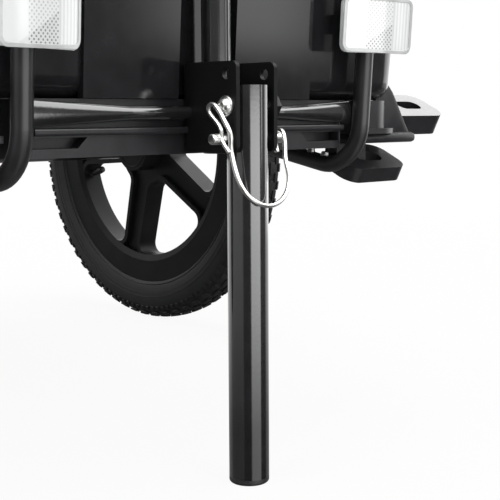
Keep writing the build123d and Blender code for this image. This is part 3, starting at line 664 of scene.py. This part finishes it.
class TRAILER_OT_tyres(bpy.types.Operator):
    """Mould the tyres with tread blocks and sidewall lines, and fit the valves"""

    bl_idname = "trailer.tyres"
    bl_label = "Tyres"

    def execute(self, context):
        sizes = context.scene.trailer_sizes
        axis = (1, 0, 0)
        for side, _ in SIDES:
            middle = AXLES[side]
            mesh = bmesh.new()
            section = [*((-x, drop) for x, drop in TYRE_SECTION), *reversed(TYRE_SECTION[:-1])]
            chain = [
                mesh.verts.new(middle + Vector((x / 1000, 0, drop / 1000 - TYRE_RADIUS)))
                for x, drop in section
            ]
            edges = [mesh.edges.new(pair) for pair in zip(chain, [*chain[1:], chain[0]])]
            revolve(mesh, chain, edges, middle, axis, TYRE_STEPS)
            for row, (offset, drop, lean, width, length, multiple) in enumerate(TREAD_ROWS):
                number = sizes.tread_blocks * multiple
                size = (width / 1000, length / 1000, sizes.tread_height)
                phase = Matrix.Rotation(pi / number if row == STAGGERED_ROW else 0.0, 4, "X")
                for way in (-1, 1) if offset else (1,):
                    place = phase @ Vector((way * offset / 1000, 0, drop / 1000 - TYRE_RADIUS))
                    turn = phase @ Matrix.Rotation(radians(-way * lean), 4, "Y")
                    block = add_block(mesh, middle + place, size, BLOCK_ROUNDING, turn)
                    add_copies(mesh, block, middle, axis, number)
            for way in (-1, 1):
                for offset, drop, thickness in WALL_LINES:
                    centre = middle + Vector((way * offset / 1000, 0, 0))
                    radius = TYRE_RADIUS - drop / 1000
                    add_ring(mesh, centre, axis, radius, thickness / 1000, TYRE_STEPS, sides=6)
            tyre = piece(f"tyre_tread_{side}", f"wheel_{side}", "tyre_rubber", mesh)
            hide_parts(f"tyre_{side}")
            self.valve(side, middle)
        return {"FINISHED"}

    def valve(self, side, middle):
        mesh = bmesh.new()
        base = middle + VALVE_WAY * VALVE_SEAT
        for start, *form in VALVE_STEPS:
            add_disc(mesh, base - VALVE_WAY * start, -VALVE_WAY, *form, sides=24)
        piece(f"valve_{side}", f"wheel_{side}", "black_plastic", mesh)


# Lens of a reflector, with the bow's radius and the place of its front from the upright's axis
LENS_WIDTH = 0.062
LENS_HEIGHT = 0.039
LENS_BOW = 0.130
LENS_CORNER = 0.006
LENS_SEAT = RAIL_RADIUS + 0.00405
LENS_FRONT = -LENS_SEAT - 0.0065
LENS_TOE = radians(12.0)
RIM_RAISE = 0.0011
# Share of the lens colour that the clear rim is painted with: painted shade, for the dark that shows through the
# clear rim
RIM_PAINTED_SHADE = 0.66
FACE_RAISE = 0.0004
# Clamp screw as radius, height, radius at the top and rounding, and how far it is sunk
CLAMP_SCREW = (0.0034, 0.0022, None, 0.0006)
CLAMP_SCREW_SINK = 0.0018


class TRAILER_OT_reflectors(bpy.types.Operator):
    """Fit the prism faces, rims and screws of the reflectors"""

    bl_idname = "trailer.reflectors"
    bl_label = "Reflectors"

    def execute(self, context):
        band = context.scene.trailer_sizes.lens_rim
        colours = context.scene.trailer_colours
        for place, slot, lens, colour, turn, toe in (
            ("front", "clear_reflector", "clear_lens", colours.clear_lens, 0.0, LENS_TOE),
            ("rear", "red_reflector", "red_lens", colours.red_lens, pi, 0.0),
        ):
            face_finish = lens_face(f"{lens}_face", colour, LENS_WIDTH, LENS_HEIGHT)
            # The rim gets the lens colour darkened by painted shade
            rim_painted_shade_finish = lens_body(f"{lens}_rim", shade(colour, RIM_PAINTED_SHADE))
            slope, behind, level = UPRIGHTS[place]
            for side, sign in SIDES:
                low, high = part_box(f"reflector_clamp_{place}_{side}")
                z = (low.z + high.z) / 2
                middle = Vector((sign * RAIL_X, LEG_Y + behind + slope * (z - level), z))
                lean = Matrix.Rotation(-atan(slope), 4, "X") @ Matrix.Rotation(-sign * toe, 4, "Z")
                local = Matrix.Translation(middle) @ lean @ Matrix.Rotation(turn, 4, "Z")
                self.rim(f"reflector_rim_{place}_{side}", slot, rim_painted_shade_finish, local, band)
                self.face(f"reflector_face_{place}_{side}", slot, face_finish, local, band)
                screw = bmesh.new()
                base = local @ Vector((0, LENS_SEAT - CLAMP_SCREW_SINK, 0))
                add_disc(screw, base, local.to_3x3() @ Vector((0, 1, 0)), *CLAMP_SCREW, sides=20)
                piece(f"reflector_screw_{place}_{side}", "frame", "zinc", screw)
        return {"FINISHED"}

    def outline(self, inset):
        """Matrix that makes a grid as wide and high as the lens less an inset, and stands it up."""
        half = (LENS_WIDTH / 2 - inset, LENS_HEIGHT / 2 - inset)
        return Matrix.Rotation(pi / 2, 4, "X") @ Matrix.Diagonal((*half, 1.0, 1.0))

    def bend(self, mesh, front, local):
        """Bow a flat outline, set it on the front of a lens and move it into place."""
        for vert in mesh.verts:
            vert.co.y += front + vert.co.x ** 2 / (2 * LENS_BOW)
        bmesh.ops.transform(mesh, matrix=local, verts=mesh.verts)

    def rim(self, name, slot, finish, local, band):
        mesh = bmesh.new()
        bmesh.ops.create_grid(mesh, x_segments=1, y_segments=1, size=1.0, matrix=self.outline(0.0))
        bmesh.ops.bevel(
            mesh, geom=list(mesh.verts), offset=LENS_CORNER, segments=6, profile=0.5, affect="VERTICES",
            material=-1,
        )
        long_edges = [edge for edge in mesh.edges if edge.calc_length() > 0.01]
        bmesh.ops.subdivide_edges(mesh, edges=long_edges, cuts=9)
        inner = bmesh.ops.inset_region(
            mesh, faces=list(mesh.faces), thickness=band, use_boundary=True, use_even_offset=True
        )
        field = [face for face in mesh.faces if face not in set(inner["faces"])]
        bmesh.ops.delete(mesh, geom=field, context="FACES_ONLY")
        lift(mesh, list(mesh.faces), (0, -RIM_RAISE, 0))
        self.bend(mesh, LENS_FRONT, local)
        made = piece(name, "frame", slot, mesh, finish)
        soft = made.modifiers.new("soft_edges", "BEVEL")
        soft.width = 0.0004
        soft.segments = 2

    def face(self, name, slot, finish, local, band):
        mesh = bmesh.new()
        bmesh.ops.create_grid(mesh, x_segments=24, y_segments=4, size=1.0, matrix=self.outline(band))
        layer = mesh.loops.layers.uv.new("face")
        for face in mesh.faces:
            for loop in face.loops:
                loop[layer].uv = (loop.vert.co.x, loop.vert.co.z)
        self.bend(mesh, LENS_FRONT - FACE_RAISE, local)
        piece(name, "frame", slot, mesh, finish)


# Weld rings: distance outside a rail, radius on beam and eye, scales in a ring, and gaps to the tubes' ends
WELD_PROUD = 0.0002
WELD_RADIUS = 0.0100
RAIL_SCALES, BEAM_SCALES, EYE_SCALES = 20, 24, 26
BAR_GAP, CROSS_GAP, EYE_GAP = 0.0004, 0.0006, 0.0010
EYE_WAY = (0, 1, -0.09)


class TRAILER_OT_welds(bpy.types.Operator):
    """Lay the weld beads where tubes meet"""

    bl_idname = "trailer.welds"
    bl_label = "Welds"

    def execute(self, context):
        bead = context.scene.trailer_sizes.weld_bead
        mesh = bmesh.new()
        for _, sign in SIDES:
            for place in ("front", "rear"):
                bar_low, bar_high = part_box(f"top_bar_{place}")
                joint = Vector((sign * RAIL_X, (bar_low.y + bar_high.y) / 2, bar_low.z + BAR_GAP))
                add_weld(mesh, joint, (0, 0, 1), RAIL_RADIUS + WELD_PROUD, bead, RAIL_SCALES)
                cross_low, cross_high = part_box(f"floor_cross_{place}")
                joint = (cross_low + cross_high) / 2
                joint.x = sign * (RAIL_X - RAIL_RADIUS - CROSS_GAP)
                add_weld(mesh, joint, (1, 0, 0), RAIL_RADIUS + WELD_PROUD, bead, RAIL_SCALES)
            beam_low, beam_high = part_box("axle_beam")
            joint = (beam_low + beam_high) / 2
            joint.x = sign * beam_high.x
            add_weld(mesh, joint, (1, 0, 0), WELD_RADIUS, bead, BEAM_SCALES)
        eye_low, eye_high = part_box("hitch_eye")
        joint = (eye_low + eye_high) / 2
        joint.y = eye_high.y + EYE_GAP
        add_weld(mesh, joint, EYE_WAY, WELD_RADIUS, bead, EYE_SCALES)
        piece("weld_beads", "frame", "black_tube", mesh)
        return {"FINISHED"}


# Head of the stand's bolt as distance from the plate and radius, in millimetres, and its shank and nut
BOLT_HEAD = (
    (0.0, 0.0), (0.0, 6.5), (1.1, 6.5), (1.6, 6.1), (1.7, 5.5), (2.6, 5.1), (3.8, 4.4), (4.6, 3.5),
    (4.9, 2.7), (4.8, 2.4), (3.4, 2.2), (3.4, 0.0),
)
BOLT_SHANK = 0.0039
NUT_WIDTH = 0.013
NUT_SHARE = 0.8
# Round heads and caps as radius, height, radius at the top and rounding
BAR_CAP = (0.0066, 0.0028, None, 0.0012)
POST_CAP = (0.0094, 0.003, None, 0.0012)
RAIL_HEAD = (0.0034, 0.0038, 0.0026, 0.0008)
FLOOR_HEAD = (0.0085, 0.0035, 0.0060, 0.0012)
RIM_HEAD = (0.0075, 0.0032, 0.0052, 0.0011)
YAW_WASHER = (0.0115, 0.0016, None, 0.0004)
CAP_HEAD = (0.0042, 0.0050, None, 0.0007)
HUB_WASHER = (0.0130, 0.0012)
# Hexagons as width and height, with the washer's thickness where there is one
SADDLE_BOLT = (0.008, 0.0045, 0.0012)
YAW_NUT = (0.017, 0.0060)
PITCH_NUT = (0.015, 0.0055, 0.0012)
CAP_NUT = (0.008, 0.0045)
# Places of the bolts, as distances behind the leg, from the middle or from an edge
RAIL_BOLTS = (0.066, 0.080)
RAIL_BOLT_SINK = 0.0012
SADDLE_INSET = 0.0052
FLOOR_BOLTS = (0.30, 0.62)
RIM_BOLT_X = 0.085
HUB_WASHER_SINK = 0.0008
# Raised rings of a hub as side and radius, and their thickness
HUB_RINGS = (("outer", 0.0225), ("inner", 0.0225), ("outer", 0.0175))
HUB_RING = 0.0014
# Hitch: sink of the yaw washers, half width over the pitch ears, and the cap's screws as inset from its side,
# depth ahead of its split, height from the middle and length
YAW_SINK = 0.0030
PITCH_EAR = 0.0083 + 0.006
CAP_INSET, CAP_DEPTH, CAP_RISE, CAP_LENGTH = 0.0062, 0.0057, 0.011, 0.0120
# Thickness of the tub's floor
FLOOR = 0.004


class TRAILER_OT_fasteners(bpy.types.Operator):
    """Fit bolts, nuts, washers, hub rings and end caps"""

    bl_idname = "trailer.fasteners"
    bl_label = "Fasteners"

    def execute(self, context):
        self.caps()
        self.pivot_bolt()
        self.frame_bolts()
        self.hubs()
        self.hitch()
        return {"FINISHED"}

    def caps(self):
        mesh = bmesh.new()
        for place in ("front", "rear"):
            low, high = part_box(f"top_bar_{place}")
            for sign in (-1, 1):
                end = Vector((sign * high.x, (low.y + high.y) / 2, (low.z + high.z) / 2))
                add_disc(mesh, end, (sign, 0, 0), *BAR_CAP)
        low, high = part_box("drawbar")
        foot = Vector((0, high.y - (high.x - low.x) / 2, low.z))
        add_disc(mesh, foot, (0, 0, -1), *POST_CAP)
        piece("tube_caps", "frame", "black_plastic", mesh)

    def pivot_bolt(self):
        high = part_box("stand_pivot_bolt")[1]
        mesh = bmesh.new()
        seat = Vector((-PLATE_OUTER, PIVOT.y, PIVOT.z))
        chain = [mesh.verts.new(seat + Vector((-out / 1000, 0, radius / 1000))) for out, radius in BOLT_HEAD]
        edges = [mesh.edges.new(pair) for pair in zip(chain, chain[1:])]
        revolve(mesh, chain, edges, PIVOT, (1, 0, 0), 64)
        add_disc(mesh, seat, (1, 0, 0), BOLT_SHANK, high.x - seat.x, rim=0.0006)
        bolt = piece("pivot_bolt", "frame", "zinc", mesh)
        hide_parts("stand_pivot_bolt")
        nut = bmesh.new()
        seat = Vector((PLATE_OUTER, PIVOT.y, PIVOT.z))
        add_hex_bolt(nut, seat, (1, 0, 0), NUT_WIDTH, (high.x - PLATE_OUTER) * NUT_SHARE)
        piece("pivot_nut", "frame", "black_tube", nut, finish_of("bracket"))

    def frame_bolts(self):
        mesh = bmesh.new()
        for side, sign in SIDES:
            for y in RAIL_BOLTS:
                rise = RAIL_START[1] + (y - RAIL_START[0]) * RAIL_CLIMB + RAIL_RADIUS
                base = Vector((sign * RAIL_X, LEG_Y + y, rise - RAIL_BOLT_SINK))
                add_disc(mesh, base, (0, -RAIL_CLIMB, 1), *RAIL_HEAD, sides=24)
            low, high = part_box(f"axle_saddle_{side}")
            for y in (low.y + SADDLE_INSET, high.y - SADDLE_INSET):
                base = Vector(((low.x + high.x) / 2, y, low.z))
                add_hex_bolt(mesh, base, (0, 0, -1), *SADDLE_BOLT)
            for y in FLOOR_BOLTS:
                base = Vector((sign * RAIL_X, LEG_Y + y, TUB_LOW.z + FLOOR))
                add_disc(mesh, base, (0, 0, 1), *FLOOR_HEAD)
            for place in ("front", "rear"):
                bar_low, bar_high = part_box(f"top_bar_{place}")
                base = Vector((sign * RIM_BOLT_X, (bar_low.y + bar_high.y) / 2, TUB_HIGH.z))
                add_disc(mesh, base, (0, 0, 1), *RIM_HEAD)
        piece("frame_bolts", "frame", "zinc", mesh)

    def hubs(self):
        for side, sign in SIDES:
            middle = AXLES[side]
            low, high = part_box(f"wheel_rim_{side}")
            ends = {"outer": high.x if sign > 0 else low.x, "inner": low.x if sign > 0 else high.x}
            mesh = bmesh.new()
            base = Vector((ends["outer"] - sign * HUB_WASHER_SINK, middle.y, middle.z))
            add_disc(mesh, base, (sign, 0, 0), *HUB_WASHER, sides=48)
            piece(f"hub_washer_{side}", "frame", "zinc", mesh)
            rings = bmesh.new()
            for end, radius in HUB_RINGS:
                add_ring(rings, (ends[end], middle.y, middle.z), (1, 0, 0), radius, HUB_RING, 64)
            piece(f"hub_rings_{side}", f"wheel_{side}", "rim_plastic", rings)

    def hitch(self):
        knuckle = bmesh.new()
        low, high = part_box("hitch_knuckle")
        for end, way in ((high.z, 1), (low.z, -1)):
            base = Vector((YAW.x, YAW.y, end - way * YAW_SINK))
            add_disc(knuckle, base, (0, 0, way), *YAW_WASHER, sides=40)
            add_hex_bolt(knuckle, base + Vector((0, 0, way * YAW_WASHER[1])), (0, 0, way), *YAW_NUT)
        piece("yaw_pin_nuts", "hitch_knuckle_body", "zinc", knuckle)
        clamp = bmesh.new()
        for sign in (-1, 1):
            base = (PITCH.x + sign * PITCH_EAR, PITCH.y, PITCH.z)
            add_hex_bolt(clamp, base, (sign, 0, 0), *PITCH_NUT)
        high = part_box("hitch_cap")[1]
        for sign in (-1, 1):
            for rise in (-CAP_RISE, CAP_RISE):
                base = Vector((sign * (high.x - CAP_INSET), high.y - CAP_DEPTH, PITCH.z + rise))
                add_disc(clamp, base, (0, -1, 0), *CAP_HEAD, sides=28)
                add_hex_bolt(clamp, base + Vector((0, CAP_LENGTH, 0)), (0, 1, 0), *CAP_NUT)
        piece("clamp_screws", "hitch_clamp_body", "zinc", clamp)


# Floor runners: lanes, pitch, size, height over the floor, rounding and place behind the leg
RUNNER_LANES = range(-3, 4)
RUNNER_PITCH = 0.048
RUNNER_SIZE = (0.012, 0.46, 0.0032)
RUNNER_RISE = 0.0011
RUNNER_ROUNDING = 0.0012
RUNNER_Y = 0.345
# Drain plugs as distance from the middle, places behind the leg and form
PLUG_X = 0.165
PLUG_Y = (0.09, 0.60)
PLUG = (0.010, 0.0024, None, 0.0010)


class TRAILER_OT_tub_fittings(bpy.types.Operator):
    """Mould the floor runners and drain plugs of the tub"""

    bl_idname = "trailer.tub_fittings"
    bl_label = "Tub fittings"

    def execute(self, context):
        floor = TUB_LOW.z + FLOOR
        mesh = bmesh.new()
        for lane in RUNNER_LANES:
            middle = (lane * RUNNER_PITCH, LEG_Y + RUNNER_Y, floor + RUNNER_RISE)
            add_block(mesh, middle, RUNNER_SIZE, RUNNER_ROUNDING)
        piece("floor_runners", "frame", "tub_plastic", mesh)
        plugs = bmesh.new()
        for x in (-PLUG_X, PLUG_X):
            for y in PLUG_Y:
                add_disc(plugs, (x, LEG_Y + y, floor), (0, 0, 1), *PLUG, sides=36)
        piece("drain_plugs", "frame", "black_plastic", plugs)
        return {"FINISHED"}


# Bottom plate of a corner foot: distance from the middle, distance behind the leg, height, size and rounding
FOOT_PLATE = (0.191, 0.087, 0.2182)
FOOT_PLATE_SIZE = (0.078, 0.084, 0.0078)
FOOT_PLATE_ROUNDING = 0.0030
# Gusset of a foot, as distance from the middle and height in millimetres, with its place behind the leg
GUSSET_OUTLINE = (
    (190.0, 219.0), (190.0, 259.0), (206.0, 259.0), (211.0, 254.0), (216.5, 246.0), (225.0, 232.5),
    (232.5, 221.5), (236.0, 217.6), (235.0, 215.0), (229.0, 214.4),
)
GUSSET_Y = 0.0540
GUSSET_ROUNDING = 0.0010


class TRAILER_OT_corner_feet(bpy.types.Operator):
    """Mould the bottom plate and the gusset of each corner foot"""

    bl_idname = "trailer.corner_feet"
    bl_label = "Corner feet"

    def execute(self, context):
        thickness = context.scene.trailer_sizes.gusset_thickness
        x, y, z = FOOT_PLATE
        for side, sign in SIDES:
            mesh = bmesh.new()
            add_block(mesh, (sign * x, LEG_Y + y, z), FOOT_PLATE_SIZE, FOOT_PLATE_ROUNDING)
            chain = [
                mesh.verts.new((sign * out / 1000, LEG_Y + GUSSET_Y, rise / 1000))
                for out, rise in GUSSET_OUTLINE
            ]
            moved = lift(mesh, [mesh.faces.new(chain)], (0, thickness, 0))
            edges = {edge for vert in (*chain, *moved) for edge in vert.link_edges}
            rim = [edge for edge in edges if abs(edge.verts[0].co.y - edge.verts[1].co.y) < NEAR]
            bmesh.ops.bevel(
                mesh, geom=rim, offset=GUSSET_ROUNDING, segments=2, profile=0.5, affect="EDGES", material=-1
            )
            piece(f"foot_trim_{side}", "frame", "tub_plastic", mesh, finish_of("skirt"))
        return {"FINISHED"}


# Levels that gloss sees round the object, by the angle in degrees from the way to the camera
LOW_PANELS = (
    (-180, 0.80), (-115, 0.80), (-106, 0.42), (-31, 0.42), (-24, 0.07), (14, 0.07), (20, 3.00), (72, 3.00),
    (75, 0.12), (112, 0.12), (118, 0.80), (180, 0.80),
)
HIGH_PANELS = (
    (-180, 0.90), (-165, 0.70), (-110, 0.60), (-45, 0.60), (-40, 0.25), (30, 0.25), (35, 0.90), (72, 0.90),
    (74, 0.25), (81, 0.30), (85, 2.40), (89, 2.40), (92, 0.60), (94, 0.25), (110, 0.30), (117, 2.00),
    (165, 2.00), (180, 0.90),
)
PANEL_PEAK = 3.0
# Where the high panels start lower, by the same angle, and by how much at most
LOW_START = ((-180, 0.0), (73, 0.0), (75, 0.5), (112, 0.5), (120, 1.0), (168, 1.0), (178, 0.0), (180, 0.0))
LOW_START_REACH = 0.060
# Fall of the low panels towards the floor, by the height of the way there
LOW_FALL = ((-0.50, 0.20), (-0.28, 0.30), (-0.17, 1.00), (-0.05, 1.40))
FALL_PEAK = 1.4
# Blend from the low panels to the high ones, and from those to the top panel
HIGH_BLEND = ((0.503, 0.0), (0.517, 1.0))
TOP_BLEND = ((0.30, 0.0), (0.42, 1.0))
TOP_PANEL = 4.6
# Strength of the surround where neither the camera nor gloss sees it
FILL = 0.6
# Floor: half its width, and the distances over which it fades into the surround
FLOOR_REACH = 14.0
FADE_START, FADE_END, FADE_LEVEL = 0.8, 2.0, 0.93
# Lamps as name, place, target, size and power
LAMPS = (
    ("front_box", (0.1, -2.4, 1.0), (0.0, 0.0, 0.3), (2.0, 1.4), 26.0),
    ("side_box", (-2.4, 0.1, 1.2), (0.0, 0.1, 0.3), (1.4, 1.4), 20.0),
    ("top_box", (0.2, 0.3, 2.6), (0.0, 0.2, 0.2), (1.8, 1.8), 34.0),
)


class TRAILER_OT_stage(bpy.types.Operator):
    """Set up the floor, the soft light and the camera"""

    bl_idname = "trailer.stage"
    bl_label = "Studio"

    def execute(self, context):
        scene = context.scene
        studio = scene.trailer_studio
        scene.view_settings.view_transform = "Standard"
        self.floor()
        self.world(scene)
        self.lamps()
        camera = bpy.data.cameras.new("camera")
        camera.sensor_width = 36.0
        camera.lens = studio.lens
        camera.clip_start = 0.01
        holder = bpy.data.objects.new("camera", camera)
        holder.location = studio.camera_place
        holder.rotation_euler = (pi / 2 - studio.camera_tilt, studio.camera_roll, studio.camera_turn)
        scene.collection.objects.link(holder)
        scene.camera = holder
        return {"FINISHED"}

    def floor(self):
        """White floor that keeps the shadow and lets gloss see the studio wrap below the horizon."""
        mesh = bmesh.new()
        bmesh.ops.create_grid(mesh, x_segments=1, y_segments=1, size=FLOOR_REACH)
        data = bpy.data.meshes.new("floor")
        mesh.to_mesh(data)
        mesh.free()
        finish = Finish("floor")
        finish.set(Base_Color=(0.85, 0.85, 0.85, 1.0), Roughness=0.9, Specular_IOR_Level=0.0)
        seen = finish.node("ShaderNodeLightPath", output="Is Camera Ray")
        glossy = finish.node("ShaderNodeLightPath", output="Is Glossy Ray")
        far = finish.node(
            "ShaderNodeVectorMath", {"operation": "LENGTH"}, Vector=finish.place, output="Value"
        )
        fade = finish.node(
            "ShaderNodeMapRange", Value=far, From_Min=FADE_START, From_Max=FADE_END, To_Min=FADE_LEVEL,
            To_Max=1.0, output="Result",
        )
        glow = finish.node("ShaderNodeEmission", Color=WHITE, Strength=1.0)
        clear = finish.node("ShaderNodeBsdfTransparent")
        lit = finish.mix(seen * fade, finish.shader.outputs[0], glow.socket)
        whole = finish.mix(glossy, lit, clear.socket)
        finish.tree.links.new(whole, finish.tree.nodes["Material Output"].inputs["Surface"])
        data.materials.append(finish.material)
        floor = bpy.data.objects.new("floor", data)
        bpy.context.scene.collection.objects.link(floor)

    def world(self, scene):
        """White surround, with soft panels round the object that only gloss sees."""
        world = bpy.data.worlds.new("studio")
        world.use_nodes = True
        nodes = Nodes(world.node_tree)
        background = world.node_tree.nodes["Background"]
        background.inputs["Color"].default_value = WHITE
        way = nodes.node("ShaderNodeTexCoord", output="Generated")
        x = nodes.node("ShaderNodeSeparateXYZ", Vector=way, output="X")
        y = nodes.node("ShaderNodeSeparateXYZ", Vector=way, output="Y")
        z = nodes.node("ShaderNodeSeparateXYZ", Vector=way, output="Z")
        towards = x * BACK[0] + y * BACK[1]
        aside = y * BACK[0] - x * BACK[1]
        turn = towards.math("ARCTAN2", aside, towards) * (0.5 / pi) + 0.5
        height = z * 0.5 + 0.5
        low_stops, high_stops, start_stops = (
            [(angle / 360 + 0.5, level) for angle, level in stops]
            for stops in (LOW_PANELS, HIGH_PANELS, LOW_START)
        )
        low = nodes.levels(turn, low_stops, PANEL_PEAK) * PANEL_PEAK
        high = nodes.levels(turn, high_stops, PANEL_PEAK) * PANEL_PEAK
        fall = nodes.levels(height, [(rise * 0.5 + 0.5, level) for rise, level in LOW_FALL], FALL_PEAK)
        sector = nodes.levels(turn, start_stops)
        raised = nodes.levels(height + sector * LOW_START_REACH, HIGH_BLEND)
        top = nodes.levels(z, TOP_BLEND)
        round_about = low * fall * FALL_PEAK * (1.0 - raised) + high * raised
        gloss = round_about * (1.0 - top) + top * TOP_PANEL
        seen = nodes.node("ShaderNodeLightPath", output="Is Camera Ray")
        glossy = nodes.node("ShaderNodeLightPath", output="Is Glossy Ray")
        through = nodes.node("ShaderNodeLightPath", output="Is Transmission Ray")
        strength = FILL + seen * (1.0 - FILL) + through * (1.0 - FILL) + glossy * (gloss - FILL)
        nodes.tree.links.new(strength.socket, background.inputs["Strength"])
        scene.world = world

    def lamps(self):
        for name, place, target, size, power in LAMPS:
            lamp = bpy.data.lights.new(name, "AREA")
            lamp.shape = "RECTANGLE"
            lamp.size, lamp.size_y = size
            lamp.energy = power
            holder = bpy.data.objects.new(name, lamp)
            holder.location = place
            holder.rotation_euler = (Vector(target) - Vector(place)).to_track_quat("-Z", "Y").to_euler()
            holder.visible_glossy = False
            holder.visible_camera = False
            bpy.context.scene.collection.objects.link(holder)


class TRAILER_PT_panel(bpy.types.Panel):
    """Lists the trailer's steps in the sidebar"""

    bl_label = "Cargo bike trailer"
    bl_idname = "TRAILER_PT_panel"
    bl_space_type = "VIEW_3D"
    bl_region_type = "UI"
    bl_category = "Trailer"

    def draw(self, context):
        for operator in OPERATORS:
            self.layout.operator(operator.bl_idname)


OPERATORS = (
    TRAILER_OT_finishes,
    TRAILER_OT_lock_pin,
    TRAILER_OT_tyres,
    TRAILER_OT_reflectors,
    TRAILER_OT_welds,
    TRAILER_OT_fasteners,
    TRAILER_OT_tub_fittings,
    TRAILER_OT_corner_feet,
    TRAILER_OT_stage,
)
CLASSES = (TrailerSizes, TrailerColours, TrailerStudio, *OPERATORS, TRAILER_PT_panel)


def register():
    for made in CLASSES:
        bpy.utils.register_class(made)
    bpy.types.Scene.trailer_sizes = PointerProperty(type=TrailerSizes)
    bpy.types.Scene.trailer_colours = PointerProperty(type=TrailerColours)
    bpy.types.Scene.trailer_studio = PointerProperty(type=TrailerStudio)


def unregister():
    del bpy.types.Scene.trailer_studio
    del bpy.types.Scene.trailer_colours
    del bpy.types.Scene.trailer_sizes
    for made in reversed(CLASSES):
        bpy.utils.unregister_class(made)


def main():
    register()
    for operator in OPERATORS:
        group, name = operator.bl_idname.split(".")
        getattr(getattr(bpy.ops, group), name)()


if __name__ == "__main__":
    main()
